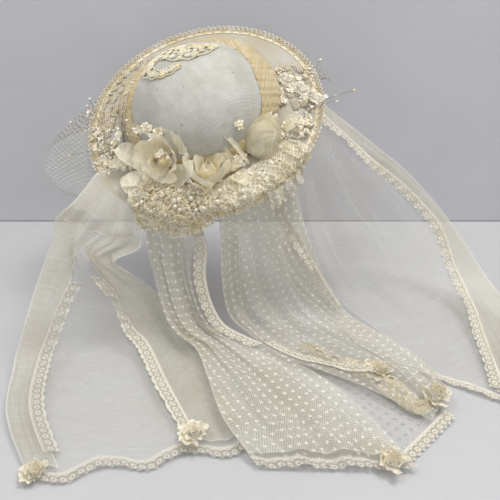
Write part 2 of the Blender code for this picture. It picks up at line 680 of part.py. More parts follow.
def build():
    clear_scene()
    hat = new_collection("bridal_hat")
    helpers = new_collection("spray wires", hidden=True)
    straw = principled("silver white satin", SILVER_WHITE, 0.55)
    satin = principled("ivory satin", CREAM, 0.5)
    lace = principled("ivory lace", IVORY, 0.8)
    gold = principled("gold ivory gauze", GOLD_IVORY, 0.7)
    organza = principled("cream organza", CREAM, 0.45)
    net = principled("cream net", IVORY, 0.7)
    pearl = principled("pearl", PEARL, 0.2)

    make_crown(straw, hat)
    make_brim(satin, hat)
    make_rim_braid(lace, hat)
    make_crown_band(gold, hat)
    make_crown_lace(lace, hat)
    make_brim_lace("brim_lace_left", radians(122), radians(178), 0.006, lace, hat)
    make_brim_lace("brim_lace_right", radians(-6), radians(34), 0.008, lace, hat)

    make_rose("rose_left", radians(241), 0.026, ROSE_RADIUS, ROSE_DEPTH, organza, hat)
    make_rose("rose_middle", radians(269), 0.028, ROSE_RADIUS, ROSE_DEPTH, organza, hat)
    make_rose("rose_bud", radians(314), 0.027, BUD_RADIUS, ROSE_DEPTH * 0.85, organza, hat)
    make_leaf(
        "leaf_upper", radians(221), 0.23, radians(140),
        LEAF_LENGTH, LEAF_WIDTH, 0.45 * LEAF_LENGTH, organza, hat,
    )
    make_leaf(
        "leaf_lower", radians(216), 0.4, radians(276),
        0.85 * LEAF_LENGTH, LEAF_WIDTH, 0.30 * LEAF_LENGTH, organza, hat,
    )
    make_leaf(
        "leaf_rolled", radians(299), 0.24, radians(205),
        0.55 * LEAF_LENGTH, 0.45 * LEAF_WIDTH, 0.80 * LEAF_LENGTH, organza, hat,
    )

    left_tips = [
        (radians(174), 1.31, 0.019),
        (radians(190), 1.39, 0.012),
        (radians(164), 1.06, 0.016),
        (radians(181), 0.97, 0.020),
    ]
    make_spray("spray_left", radians(196), 0.55, left_tips, pearl, hat, helpers)
    crown_tips = [
        (radians(153), 0.06, 0.50 * CROWN_HEIGHT),
        (radians(168), 0.03, 0.56 * CROWN_HEIGHT),
        (radians(196), 0.03, 0.58 * CROWN_HEIGHT),
    ]
    make_spray("spray_crown", radians(200), 0.35, crown_tips, pearl, hat, helpers)
    right_tips = [
        (radians(352), 1.6, 0.018),
        (radians(348), 1.27, 0.015),
        (radians(13), 1.16, 0.015),
        (radians(336), 0.87, 0.016),
    ]
    make_spray("spray_right", radians(346), 0.68, right_tips, pearl, hat, helpers)

    make_pouf("pouf_left", radians(230), radians(269), 7, 0.4, net, hat)
    make_pouf("pouf_right", radians(271), radians(322), 8, 1.7, net, hat)
    make_face_veil(net, hat)

    plain_left = Panel(
        PLAIN_LEFT_ROWS, PLAIN_REACH_LEFT, radians(204), radians(219), True, 3, 0.006, 0.010
    )
    plain_right = Panel(
        PLAIN_RIGHT_ROWS, PLAIN_REACH_RIGHT, radians(333), radians(366), False, 3, 0.007, 0.012
    )
    dotted_left = Panel(
        DOTTED_LEFT_ROWS, DOTTED_REACH_RIGHT, radians(236), radians(262), False, 4, 0.006, 0.008, 1.0
    )
    dotted_right = Panel(
        DOTTED_RIGHT_ROWS, DOTTED_REACH_RIGHT, radians(272), radians(318), False, 4, 0.006, 0.008, 2.2
    )
    make_veil("veil_plain_left", plain_left, 12, 15, organza, hat)
    make_veil("veil_plain_right", plain_right, 12, 15, organza, hat)
    make_veil("veil_dotted_left", dotted_left, 13, 14, net, hat)
    make_veil("veil_dotted_right", dotted_right, 13, 14, net, hat)
    make_hem_lace("lace_hem_plain_left", plain_left, 20, lace, hat)
    make_hem_lace("lace_hem_plain_right", plain_right, 20, lace, hat)
    make_hem_lace("lace_hem_dotted_left", dotted_left, 20, lace, hat)
    make_hem_lace("lace_hem_dotted_right", dotted_right, 20, lace, hat)


build()
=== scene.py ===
# %% [markdown]
# # Dressing a bridal picture hat
#
# The real hat is a stiff dome on a round brim, both covered with satin. Ivory lace, gauze, organza
# roses, pearls on wires and ruffled net are sewn to it, and four veil panels fall from its back.
# The solid model gives every piece its place, so this lesson only builds the fine surface over it.
# A sculpted surface would also work, but each piece here follows from a few sizes, so it can be read
# and changed.

from functools import lru_cache
from math import cos, degrees, pi, radians, sin, sqrt
from random import Random

import bmesh
import bpy
from mathutils import Matrix, Vector, noise


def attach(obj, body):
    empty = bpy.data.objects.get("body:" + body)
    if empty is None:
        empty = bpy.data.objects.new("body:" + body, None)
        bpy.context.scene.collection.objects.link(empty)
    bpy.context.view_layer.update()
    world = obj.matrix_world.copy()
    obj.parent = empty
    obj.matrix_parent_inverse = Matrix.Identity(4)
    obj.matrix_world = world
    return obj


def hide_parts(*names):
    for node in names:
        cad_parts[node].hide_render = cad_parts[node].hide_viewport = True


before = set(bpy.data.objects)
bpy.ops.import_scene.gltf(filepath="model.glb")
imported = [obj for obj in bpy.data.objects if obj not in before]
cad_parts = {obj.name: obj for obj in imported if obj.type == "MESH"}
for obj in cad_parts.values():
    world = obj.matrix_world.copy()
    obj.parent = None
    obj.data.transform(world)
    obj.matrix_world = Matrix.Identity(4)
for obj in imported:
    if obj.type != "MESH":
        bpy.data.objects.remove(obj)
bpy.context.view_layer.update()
noise.seed_set(5)  # the unevenness of hand work; unseeded, the noise would differ in each run

# %% [markdown]
# ## The camera
#
# The hat is seen from behind and above, as on a table at chest height. A camera could be placed by
# eye, but these values come from the table's edge and the hat's known diameter. Sheer cloth needs
# many see-through layers, so light may pass through more of them than usual.

# %% Camera
camera_lens = bpy.data.cameras.new("camera")
camera_lens.lens = 43.2
camera_lens.sensor_width = 36
camera = bpy.data.objects.new("camera", camera_lens)
camera.location = (0.0576, -0.7413, 0.1904)
camera.rotation_euler = (radians(63), 0, 0)
bpy.context.scene.collection.objects.link(camera)
bpy.context.scene.camera = camera
bpy.context.scene.cycles.transparent_max_bounces = 40
print("camera", [round(v, 3) for v in camera.location])

# %% [markdown]
# ## The hat's own sizes
#
# A milliner works from the block: the dome's radius and height, the brim's radius, and the way the
# hat tips on the head. The same sizes place every trimming. Reading them off the finished mesh would
# also do, but a formula gives any point of the dome or the brim at once.

# %% Sizes and places on the hat
TIPPED = Matrix.Rotation(radians(-11.9), 4, "Y") @ Matrix.Rotation(radians(34.8), 4, "X")
FALL_HEIGHT = 0.250
CROWN_RADIUS = 0.086
CROWN_HEIGHT = 0.080
CROWN_ROUNDNESS = 2.35
BRIM_RADIUS = 0.148
BRIM_WALL = 0.0026
BAND_HEIGHT = 0.026
UP = Vector((0, 0, 1))
DOWN = Vector((0, 0, -1))


def smoothstep(low, high, value):
    share = min(1.0, max(0.0, (value - low) / (high - low)))
    return share * share * (3 - 2 * share)


def read_table(rows, at):
    """A smooth reading of a table whose first column is the position."""
    last = len(rows) - 1
    index = 0
    while index < last - 1 and at > rows[index + 1][0]:
        index += 1
    before, start, end, after = (rows[min(last, max(0, index + k))] for k in (-1, 0, 1, 2))
    share = (at - start[0]) / (end[0] - start[0])
    if at > rows[last][0]:
        return [b + (b - a) * (share - 1) for a, b in zip(start[1:], end[1:])]
    found = []
    for a, b, c, d in zip(before[1:], start[1:], end[1:], after[1:]):
        leave = (c - a) / 2
        arrive = (d - b) / 2
        curve = 2 * b - 2 * c + leave + arrive
        bend = -3 * b + 3 * c - 2 * leave - arrive
        found.append(((curve * share + bend) * share + leave) * share + b)
    return found


def on_hat(angle, radius, height):
    """A point given round the hat's axis (angle in degrees), brought to where the hat sits."""
    turn = radians(angle)
    return TIPPED @ Vector((radius * cos(turn), radius * sin(turn), height))


def hat_way(angle, rise):
    """A direction that points outwards at an angle round the hat and up by a rise, in degrees."""
    turn, lift = radians(angle), radians(rise)
    way = Vector((cos(turn) * cos(lift), sin(turn) * cos(lift), sin(lift)))
    return TIPPED.to_3x3() @ way


def crown_radius_at(height):
    share = min(1.0, max(0.0, height / CROWN_HEIGHT))
    return CROWN_RADIUS * (1 - share**CROWN_ROUNDNESS) ** (1 / CROWN_ROUNDNESS)


def dome_point(turn, out=0.0):
    """The dome's outline: turn runs in degrees from 0 at the opening to 90 at the top."""
    sharp = 2 / CROWN_ROUNDNESS
    across = max(0.0, cos(radians(turn))) ** sharp
    return (CROWN_RADIUS + out) * across, (CROWN_HEIGHT + out) * sin(radians(turn)) ** sharp


def brim_middle(radius):
    share = max(0.0, (radius - CROWN_RADIUS) / (BRIM_RADIUS - CROWN_RADIUS))
    return 0.003 - 0.004 * share**1.5


def brim_top(radius):
    return brim_middle(min(radius, BRIM_RADIUS)) + BRIM_WALL / 2


print("brim across", 2 * BRIM_RADIUS, "dome height", CROWN_HEIGHT)

# %% [markdown]
# ## Ways of making
#
# Three things are made again and again: a sheet of cloth, a thin wire, and a small stamped shape such
# as a pearl. A sheet is a grid whose points are moved, and its UV map is measured along the threads in
# metres, so net and lace keep their true size however the cloth lies. It also notes how near each
# point is to the hem, because a rolled hem is denser than the cloth. Boxes or cloth physics could
# give the shapes as well, but a moved grid keeps the folds where the maker laid them.

# %% Helpers for pieces
HAT_COLLECTION = bpy.context.scene.collection


def add_piece(name, shape, materials, stands_for=(), smooth=True):
    """Turns a finished bmesh into a piece of the hat."""
    mesh = bpy.data.meshes.new(name)
    shape.to_mesh(mesh)
    shape.free()
    for material in materials if isinstance(materials, list) else [materials]:
        mesh.materials.append(material)
    if smooth:
        mesh.shade_smooth()
    piece = bpy.data.objects.new(name, mesh)
    HAT_COLLECTION.objects.link(piece)
    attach(piece, "root")
    if stands_for:
        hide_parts(*stands_for)
    print(name, len(mesh.polygons), "faces")
    return piece


def lay_cloth(surface, columns, rows, closed=False, into=None, hem=0.0025, ribbon=False):
    """A grid of cloth laid out by surface(along, across), with thread-true UVs and a hem mark."""
    sheet = bmesh.new() if into is None else into
    cloth_uv = sheet.loops.layers.uv.get("cloth") or sheet.loops.layers.uv.new("cloth")
    near_hem = sheet.verts.layers.float.get("hem") or sheet.verts.layers.float.new("hem")
    grid = bmesh.ops.create_grid(sheet, x_segments=columns, y_segments=rows, size=0.5)["verts"]
    shares = [(vert.co.x + 0.5, vert.co.y + 0.5) for vert in grid]
    for vert, (along, across) in zip(grid, shares):
        vert.co = surface(along, across)
    wide = columns + 1
    run = [0.0] * len(grid)
    drop = [0.0] * len(grid)
    for index, vert in enumerate(grid):
        if index % wide:
            run[index] = run[index - 1] + (vert.co - grid[index - 1].co).length
        if index >= wide:
            drop[index] = drop[index - wide] + (vert.co - grid[index - wide].co).length
    threads = {}
    for index, vert in enumerate(grid):
        row = index - index % wide
        middle = (run[row + columns // 2], run[row + columns])
        column_end = drop[len(grid) - wide + index % wide]
        edge = min(run[index], middle[1] - run[index], column_end - drop[index])
        vert[near_hem] = 1 - smoothstep(0, hem, edge)
        threads[vert] = (run[index % wide] if ribbon else run[index] - middle[0], drop[index])
    for face in {face for vert in grid for face in vert.link_faces}:
        for loop in face.loops:
            loop[cloth_uv].uv = threads[loop.vert]
    if closed:
        bmesh.ops.remove_doubles(sheet, verts=grid, dist=1e-6)
    return sheet


def ready_shape(shape):
    """Keeps a small bmesh as a mesh that can be stamped many times."""
    mesh = bpy.data.meshes.new("stamp")
    shape.to_mesh(mesh)
    shape.free()
    return mesh


def stamp(target, mesh, place):
    """Adds a copy of a small mesh at a place given as a 4x4 matrix."""
    before = len(target.verts)
    target.from_mesh(mesh)
    target.verts.ensure_lookup_table()
    bmesh.ops.transform(target, matrix=place, verts=target.verts[before:])


def placed(point, facing, size=1.0, turn=0.0):
    """A matrix that puts a small shape at a point, its Z along facing, turned about it."""
    look = facing.to_track_quat("Z", "Y").to_matrix().to_4x4()
    spin = Matrix.Rotation(turn, 4, "Z") @ Matrix.Scale(size, 4)
    return Matrix.Translation(point) @ look @ spin


def add_thread(target, points, thickness, sides=5):
    """Adds a round thread or wire through the points: a circle carried along by extrusion."""
    ring = None
    for index, point in enumerate(points):
        ahead = points[min(index + 1, len(points) - 1)] - points[max(index - 1, 0)]
        place = placed(point, ahead.normalized())
        if ring is None:
            ring = bmesh.ops.create_circle(target, segments=sides, radius=thickness, matrix=place)
            verts = ring["verts"]
            last_place = place
            continue
        edges = {edge for vert in verts for edge in vert.link_edges if edge.other_vert(vert) in verts}
        grown = bmesh.ops.extrude_edge_only(target, edges=list(edges))["geom"]
        verts = [part for part in grown if isinstance(part, bmesh.types.BMVert)]
        bmesh.ops.transform(target, matrix=place @ last_place.inverted(), verts=verts)
        last_place = place


def bow(start, end, lift, steps=8):
    """Points of a wire that bows up between two ends."""
    middle = (start + end) / 2 + lift
    return [
        start * (1 - k / steps) ** 2 + middle * 2 * (k / steps) * (1 - k / steps) + end * (k / steps) ** 2
        for k in range(steps + 1)
    ]


# %% [markdown]
# ## Ways of finishing
#
# Every cloth here is old: it has yellowed in patches, and its threads show. Those effects are shared,
# so each one is a node group that is built once: ageing, a woven ground, a diamond net, sewn spots and
# a lace pattern. An image of the cloth could be painted instead, but a rule keeps its true scale on
# every piece.

# %% Helpers for materials
def rgb(red, green, blue):
    """A colour read off a paint card, 0 to 255, as the linear values that shaders take."""
    return (*((value / 255) ** 2.2 for value in (red, green, blue)), 1)


def add_node(tree, kind, inputs=None, **settings):
    node = tree.nodes.new(kind)
    for label, value in settings.items():
        setattr(node, label, value)
    for label, value in (inputs or {}).items():
        if isinstance(value, bpy.types.NodeSocket):
            tree.links.new(value, node.inputs[label])
        else:
            node.inputs[label].default_value = value
    return node


def maths(tree, operation, first, second=0.0, third=0.0):
    return add_node(
        tree, "ShaderNodeMath", {0: first, 1: second, 2: third}, operation=operation
    ).outputs[0]


def blend_range(tree, value, low, high, to_low=0.0, to_high=1.0):
    inputs = {0: value, 1: low, 2: high, 3: to_low, 4: to_high}
    return add_node(tree, "ShaderNodeMapRange", inputs).outputs[0]


def mix_colour(tree, share, first, second):
    return add_node(
        tree, "ShaderNodeMix", {0: share, 6: first, 7: second}, data_type="RGBA"
    ).outputs[2]


def new_group(name, inputs, outputs):
    """An empty node group: its tree, its incoming sockets and its outgoing ones."""
    tree = bpy.data.node_groups.new(name, "ShaderNodeTree")
    for label, kind, default in inputs:
        socket = tree.interface.new_socket(label, in_out="INPUT", socket_type=kind)
        if default is not None:
            socket.default_value = default
    for label, kind in outputs:
        tree.interface.new_socket(label, in_out="OUTPUT", socket_type=kind)
    entry = tree.nodes.new("NodeGroupInput").outputs
    way_out = tree.nodes.new("NodeGroupOutput").inputs
    return tree, entry, way_out


def use_group(tree, group, inputs):
    return add_node(tree, "ShaderNodeGroup", inputs, node_tree=group).outputs


def new_material(name, roughness, constants=None):
    """A material, its node tree and its shader, with the shader's plain values set."""
    material = bpy.data.materials.new(name)
    material.use_nodes = True
    tree = material.node_tree
    shader = tree.nodes["Principled BSDF"]
    shader.inputs["Roughness"].default_value = roughness
    for label, value in (constants or {}).items():
        shader.inputs[label].default_value = value
    return material, tree, shader


def wire_up(tree, shader, **sockets):
    for label, value in sockets.items():
        socket = shader.inputs[label.replace("_", " ")]
        if isinstance(value, bpy.types.NodeSocket):
            tree.links.new(value, socket)
        else:
            socket.default_value = value


def bump(tree, height, distance, strength=1.0):
    inputs = {"Height": height, "Distance": distance, "Strength": strength}
    return add_node(tree, "ShaderNodeBump", inputs).outputs[0]


def hat_coordinates(tree, turn=0.0):
    """Object coordinates brought back to the untipped hat, turned about its axis in degrees."""
    place = add_node(tree, "ShaderNodeTexCoord").outputs["Object"]
    level = add_node(tree, "ShaderNodeMapping", {"Vector": place})
    level.inputs["Rotation"].default_value = TIPPED.inverted().to_euler()
    turned = add_node(tree, "ShaderNodeMapping", {"Vector": level.outputs[0]})
    turned.inputs["Rotation"].default_value = (0, 0, radians(turn))
    return turned.outputs[0]


def stretched(tree, place, size):
    """The same coordinates, scaled along each axis."""
    scaled = add_node(tree, "ShaderNodeMapping", {"Vector": place})
    scaled.inputs["Scale"].default_value = size
    return scaled.outputs[0]


def cloth_coordinates(tree):
    return add_node(tree, "ShaderNodeUVMap", uv_map="cloth").outputs[0]


def hem_mark(tree):
    return add_node(tree, "ShaderNodeAttribute", attribute_name="hem").outputs["Fac"]


# %% Node group: ageing
AGEING, entry, way_out = new_group(
    "ageing",
    [
        ("Vector", "NodeSocketVector", None), ("Patches", "NodeSocketFloat", 40.0),
        ("Fresh", "NodeSocketColor", None), ("Aged", "NodeSocketColor", None),
    ],
    [("Colour", "NodeSocketColor"), ("Mask", "NodeSocketFloat")],
)
patches = add_node(
    AGEING, "ShaderNodeTexNoise",
    {"Vector": entry["Vector"], "Scale": entry["Patches"], "Detail": 4.0, "Roughness": 0.6},
).outputs[0]
aged = blend_range(AGEING, patches, 0.38, 0.64)
colour = mix_colour(AGEING, aged, entry["Fresh"], entry["Aged"])
AGEING.links.new(colour, way_out["Colour"])
AGEING.links.new(aged, way_out["Mask"])

# %% Node group: woven ground
WEAVE, entry, way_out = new_group(
    "weave",
    [("Vector", "NodeSocketVector", None), ("Pitch", "NodeSocketFloat", 0.001)],
    [("Height", "NodeSocketFloat")],
)
axes = add_node(WEAVE, "ShaderNodeSeparateXYZ", {0: entry["Vector"]}).outputs
half_pitch = maths(WEAVE, "MULTIPLY", entry["Pitch"], 0.5)
warp = maths(WEAVE, "DIVIDE", maths(WEAVE, "PINGPONG", axes[0], half_pitch), half_pitch)
weft = maths(WEAVE, "DIVIDE", maths(WEAVE, "PINGPONG", axes[1], half_pitch), half_pitch)
WEAVE.links.new(maths(WEAVE, "MULTIPLY_ADD", weft, 0.45, warp), way_out["Height"])

# %% Node group: diamond net
NET, entry, way_out = new_group(
    "net",
    [
        ("Vector", "NodeSocketVector", None), ("Cell", "NodeSocketFloat", 0.004),
        ("Thread", "NodeSocketFloat", 0.0004),
    ],
    [("Mask", "NodeSocketFloat")],
)
axes = add_node(NET, "ShaderNodeSeparateXYZ", {0: entry["Vector"]}).outputs
half_cell = maths(NET, "MULTIPLY", entry["Cell"], 0.5)
rising = maths(NET, "MULTIPLY", maths(NET, "ADD", axes[0], axes[1]), 0.7071)
falling = maths(NET, "MULTIPLY", maths(NET, "SUBTRACT", axes[0], axes[1]), 0.7071)
nearest = maths(
    NET, "MINIMUM", maths(NET, "PINGPONG", rising, half_cell), maths(NET, "PINGPONG", falling, half_cell)
)
inside = maths(NET, "MULTIPLY", entry["Thread"], 0.3)
outside = maths(NET, "MULTIPLY", entry["Thread"], 0.7)
NET.links.new(blend_range(NET, nearest, inside, outside, 1.0, 0.0), way_out["Mask"])

# %% Node group: sewn spots
SPOTS, entry, way_out = new_group(
    "spots",
    [
        ("Vector", "NodeSocketVector", None), ("Pitch", "NodeSocketFloat", 0.0105),
        ("Radius", "NodeSocketFloat", 0.002),
    ],
    [("Mask", "NodeSocketFloat")],
)
axes = add_node(SPOTS, "ShaderNodeSeparateXYZ", {0: entry["Vector"]}).outputs
half_pitch = maths(SPOTS, "MULTIPLY", entry["Pitch"], 0.5)
beside = maths(SPOTS, "PINGPONG", axes[0], half_pitch)
above = maths(SPOTS, "PINGPONG", axes[1], half_pitch)
away = maths(
    SPOTS, "SQRT", maths(SPOTS, "ADD", maths(SPOTS, "POWER", beside, 2), maths(SPOTS, "POWER", above, 2))
)
rim = maths(SPOTS, "MULTIPLY", entry["Radius"], 1.3)
core = maths(SPOTS, "MULTIPLY", entry["Radius"], 0.6)
SPOTS.links.new(blend_range(SPOTS, away, core, rim, 1.0, 0.0), way_out["Mask"])

# %% Node group: lace
LACE, entry, way_out = new_group(
    "lace pattern",
    [
        ("Vector", "NodeSocketVector", None), ("Width", "NodeSocketFloat", 0.012),
        ("Repeat", "NodeSocketFloat", 0.0085),
    ],
    [("Mask", "NodeSocketFloat")],
)
axes = add_node(LACE, "ShaderNodeSeparateXYZ", {0: entry["Vector"]}).outputs
half_repeat = maths(LACE, "MULTIPLY", entry["Repeat"], 0.5)
beside = maths(LACE, "PINGPONG", axes[0], half_repeat)
middle = maths(LACE, "MULTIPLY", entry["Width"], 0.55)
above = maths(LACE, "SUBTRACT", axes[1], middle)
away = maths(
    LACE, "SQRT", maths(LACE, "ADD", maths(LACE, "POWER", beside, 2), maths(LACE, "POWER", above, 2))
)
petal = maths(LACE, "PINGPONG", away, 0.0021)
flower = blend_range(LACE, petal, 0.0008, 0.0013)
footing = maths(LACE, "LESS_THAN", axes[1], 0.0016)
picot = maths(LACE, "GREATER_THAN", axes[1], maths(LACE, "SUBTRACT", entry["Width"], 0.0016))
edges = maths(LACE, "MAXIMUM", footing, picot)
LACE.links.new(maths(LACE, "MAXIMUM", flower, edges), way_out["Mask"])
print("node groups", [group.name for group in bpy.data.node_groups])

# %% [markdown]
# ## The dome
#
# The dome is blocked straw or buckram under a silvery satin with a diagonal rib. It could be a ball
# that is squashed, but a turned outline gives its flat top and steep side exactly: half a profile is
# spun once round, and a little noise gives it the slight dents of an old hat. The rib is two sets of
# threads in the hat's own coordinates, laid on the bias.

# %% Satin of the dome and the brim
def satin_material(name, fresh, aged, turn, marks):
    material, tree, shader = new_material(
        name, 0.42, {"Sheen Weight": 0.25, "Sheen Roughness": 0.4, "Specular IOR Level": 0.4}
    )
    place = hat_coordinates(tree, turn)
    age = use_group(tree, AGEING, {"Vector": place, "Patches": 26.0, "Fresh": fresh, "Aged": aged})
    rib = use_group(tree, WEAVE, {"Vector": stretched(tree, place, (1, 0.22, 1)), "Pitch": 0.0031})[0]
    fine = use_group(tree, WEAVE, {"Vector": place, "Pitch": 0.0013})[0]
    breaks = add_node(tree, "ShaderNodeTexNoise", {"Vector": place, "Scale": 190.0, "Detail": 1.0})
    rib = maths(tree, "MULTIPLY", rib, blend_range(tree, breaks.outputs[0], 0.40, 0.60, 0.35, 1.0))
    shade = mix_colour(tree, blend_range(tree, rib, 0.0, 1.4), rgb(138, 138, 132), age[0])
    tinted = mix_colour(tree, 0.20, age[0], shade)
    specks = add_node(tree, "ShaderNodeTexNoise", {"Vector": place, "Scale": 210.0, "Detail": 2.0})
    dirt = blend_range(tree, specks.outputs[0], 0.70, 0.76, 0.0, marks)
    soiled = mix_colour(tree, dirt, tinted, rgb(120, 112, 98))
    creases = add_node(
        tree, "ShaderNodeTexNoise", {"Vector": place, "Scale": 22.0, "Detail": 3.0, "Distortion": 1.2}
    ).outputs[0]
    height = maths(tree, "MULTIPLY_ADD", fine, 0.35, maths(tree, "MULTIPLY", rib, 0.5))
    relief = maths(tree, "MULTIPLY_ADD", creases, 6.0, height)
    rough = blend_range(tree, age[1], 0, 1, 0.38, 0.52)
    wire_up(tree, shader, Base_Color=soiled, Roughness=rough, Normal=bump(tree, relief, 0.0003, 0.8))
    return material


DOME_SATIN = satin_material("silvery satin", rgb(207, 205, 196), rgb(187, 185, 174), 64, 0.8)
BRIM_SATIN = satin_material("brim satin", rgb(196, 193, 181), rgb(188, 178, 150), 15, 0.3)
LINING_SATIN = satin_material("ivory lining satin", rgb(236, 224, 190), rgb(214, 192, 140), 0, 0.2)


# %% The dome
def spin_profile(profile, steps):
    """Spins an outline of (radius, height) round the hat's axis, welds it and turns it outwards."""
    shape = bmesh.new()
    verts = [shape.verts.new((radius, 0, height)) for radius, height in profile]
    edges = [shape.edges.new(pair) for pair in zip(verts, verts[1:])]
    bmesh.ops.spin(
        shape, geom=verts + edges, cent=(0, 0, 0), axis=(0, 0, 1), angle=2 * pi,
        steps=steps, use_merge=True,
    )
    bmesh.ops.remove_doubles(shape, verts=shape.verts, dist=1e-5)
    bmesh.ops.recalc_face_normals(shape, faces=shape.faces)
    return shape


dome_steps = 26
outer = [(0.0, CROWN_HEIGHT)] + [dome_point(90 * (1 - k / dome_steps)) for k in range(1, dome_steps + 1)]
inner = [(0.0, CROWN_HEIGHT - 0.002)] + [
    dome_point(90 * (1 - k / 14), -0.002) for k in range(1, 15)
]
dome = spin_profile(outer + inner[::-1], 112)
for vert in dome.verts:
    dent = 0.0011 * noise.noise(vert.co * 24) + 0.0005 * noise.noise(vert.co * 60)
    vert.co += vert.co.normalized() * dent * smoothstep(0.0, 0.02, vert.co.z)
bmesh.ops.transform(dome, matrix=TIPPED, verts=dome.verts)
add_piece("dome", dome, DOME_SATIN, ("crown",))

# %% [markdown]
# ## The brim and its head ribbon
#
# The brim is a thin, slightly dished ring with satin above and an ivory lining below, its rim rounded
# by a wire. A flat ring with a bevel would do, but a spun profile carries the dish and the rounded rim
# in one go. A ribbon inside the opening holds the hat on the head.

# %% The brim
brim_inner = CROWN_RADIUS + 0.0003
rim_turns = [(BRIM_WALL / 2 * cos(a), BRIM_WALL / 2 * sin(a)) for a in (1.2, 0.6, 0, -0.6, -1.2)]
radii = [brim_inner + (BRIM_RADIUS - BRIM_WALL / 2 - brim_inner) * k / 8 for k in range(9)]
above = [(radius, brim_middle(radius) + BRIM_WALL / 2) for radius in radii]
turned = [(radii[-1] + across, brim_middle(BRIM_RADIUS) + up) for across, up in rim_turns]
below = [(radius, brim_middle(radius) - BRIM_WALL / 2) for radius in reversed(radii)]
brim = spin_profile(above + turned + below + above[:1], 144)
brim.faces.ensure_lookup_table()
for face in brim.faces:
    face.material_index = 0 if face.normal.z > 0.3 else 1
bmesh.ops.transform(brim, matrix=TIPPED, verts=brim.verts)
add_piece("brim_cover", brim, [BRIM_SATIN, LINING_SATIN], ("brim",))

ribbon = spin_profile(
    [(CROWN_RADIUS - 0.0032, 0.018), (CROWN_RADIUS - 0.0030, 0.002), (CROWN_RADIUS - 0.0024, 0.002),
     (CROWN_RADIUS - 0.0026, 0.018), (CROWN_RADIUS - 0.0032, 0.018)], 96,
)
bmesh.ops.transform(ribbon, matrix=TIPPED, verts=ribbon.verts)
add_piece("head_ribbon", ribbon, LINING_SATIN)

# %% [markdown]
# ## The looped braid on the rim
#
# A braid of small thread loops, each drawn round a bead, runs round the rim on a narrow tape. One long
# curve could trace it, but every loop is alike, so one small ring is spun and stamped round the rim.

# %% Ivory thread
def thread_material(name, fresh, aged, pitch, constants=None):
    material, tree, shader = new_material(name, 0.6, constants or {"Sheen Weight": 0.3})
    place = add_node(tree, "ShaderNodeTexCoord").outputs["Object"]
    age = use_group(tree, AGEING, {"Vector": place, "Patches": 60.0, "Fresh": fresh, "Aged": aged})
    twist = add_node(tree, "ShaderNodeTexNoise", {"Vector": place, "Scale": 1 / pitch, "Detail": 2.0})
    shade = mix_colour(tree, blend_range(tree, twist.outputs[0], 0.3, 0.5, 0.25, 0.0), age[0], aged)
    wire_up(tree, shader, Base_Color=shade, Normal=bump(tree, twist.outputs[0], 0.0004))
    return material


IVORY_THREAD = thread_material("ivory thread", rgb(244, 234, 206), rgb(226, 206, 162), 0.0008)
# The rim thread is the ivory thread made dimmer and greyer: painted shade for the rim braid. The brim lace flowers use
# it too.
SHADED_RIM_THREAD = thread_material("rim thread, painted shade", rgb(224, 217, 200), rgb(208, 194, 160), 0.0008)
PALE_THREAD = thread_material("pale lace thread", rgb(250, 244, 222), rgb(236, 220, 174), 0.0008)
PEARL, tree, shader = new_material(
    "pearl", 0.16, {"Coat Weight": 0.7, "Coat Roughness": 0.08, "Specular IOR Level": 0.7}
)
place = add_node(tree, "ShaderNodeTexCoord").outputs["Object"]
age = use_group(
    tree, AGEING,
    {"Vector": place, "Patches": 160.0, "Fresh": rgb(236, 232, 220), "Aged": rgb(206, 188, 150)},
)
wire_up(tree, shader, Base_Color=age[0], Roughness=blend_range(tree, age[1], 0, 1, 0.12, 0.26))


# %% Small shapes to stamp
def small_ring(radius, thread, around=9, sides=4):
    """A thread ring, spun from a small circle."""
    ring = bmesh.new()
    upright = Matrix.Translation((radius, 0, 0)) @ Matrix.Rotation(pi / 2, 4, "X")
    made = bmesh.ops.create_circle(ring, segments=sides, radius=thread, matrix=upright)
    edges = list({edge for vert in made["verts"] for edge in vert.link_edges})
    bmesh.ops.spin(
        ring, geom=made["verts"] + edges, cent=(0, 0, 0), axis=(0, 0, 1), angle=2 * pi,
        steps=around, use_merge=True,
    )
    bmesh.ops.remove_doubles(ring, verts=ring.verts, dist=1e-6)
    bmesh.ops.recalc_face_normals(ring, faces=ring.faces)
    return ready_shape(ring)


def small_ball(radius, around=8, rings=6):
    ball = bmesh.new()
    bmesh.ops.create_uvsphere(ball, u_segments=around, v_segments=rings, radius=radius)
    return ready_shape(ball)


LOOP = small_ring(0.0027, 0.0009)
FINE_LOOP = small_ring(0.0034, 0.0004, 8, 3)
BEAD = small_ball(0.0016)
PEARL_BALL = small_ball(0.0023, 12, 8)
SEED = small_ball(0.0012, 6, 4)

# %% The braid
braid = bmesh.new()
loops = 140
for index in range(loops):
    angle = 360 * index / loops
    outwards = hat_way(angle, 14 if index % 2 else 26)
    middle = on_hat(angle, BRIM_RADIUS - 0.0026, brim_top(BRIM_RADIUS) + 0.0024)
    side = hat_way(angle + 90, 0)
    lie = Matrix((outwards * 1.5, side, outwards.cross(side))).transposed().to_4x4()
    stamp(braid, LOOP, Matrix.Translation(middle) @ lie)
    stamp(braid, BEAD, placed(middle + outwards * 0.0002, outwards, 0.8))
    rim = on_hat(angle + 180 / loops, BRIM_RADIUS + 0.0008, brim_top(BRIM_RADIUS) + 0.0008)
    stamp(braid, BEAD, placed(rim, outwards, 0.8))


def tape_surface(along, across):
    wave = 0.0006 * cos(2 * pi * loops * along) * across
    radius = BRIM_RADIUS - 0.0085 + 0.0078 * across + wave
    return on_hat(360 * along, radius, brim_top(radius) + 0.0006 + 0.0005 * sin(pi * across))


add_piece("rim_loops", braid, SHADED_RIM_THREAD, ("rim_braid",))
tape = lay_cloth(tape_surface, 2 * loops, 2, closed=True)
add_piece("rim_tape", tape, IVORY_THREAD)

# %% [markdown]
# ## The gauze band
#
# A strip of golden gauze is gathered round the foot of the dome, full at the front and pressed flat
# under the roses. It could be a torus with painted stripes, but the light shows real folds, so the
# sheet has two sets of oblique gathers in its mesh and finer ones in its relief.

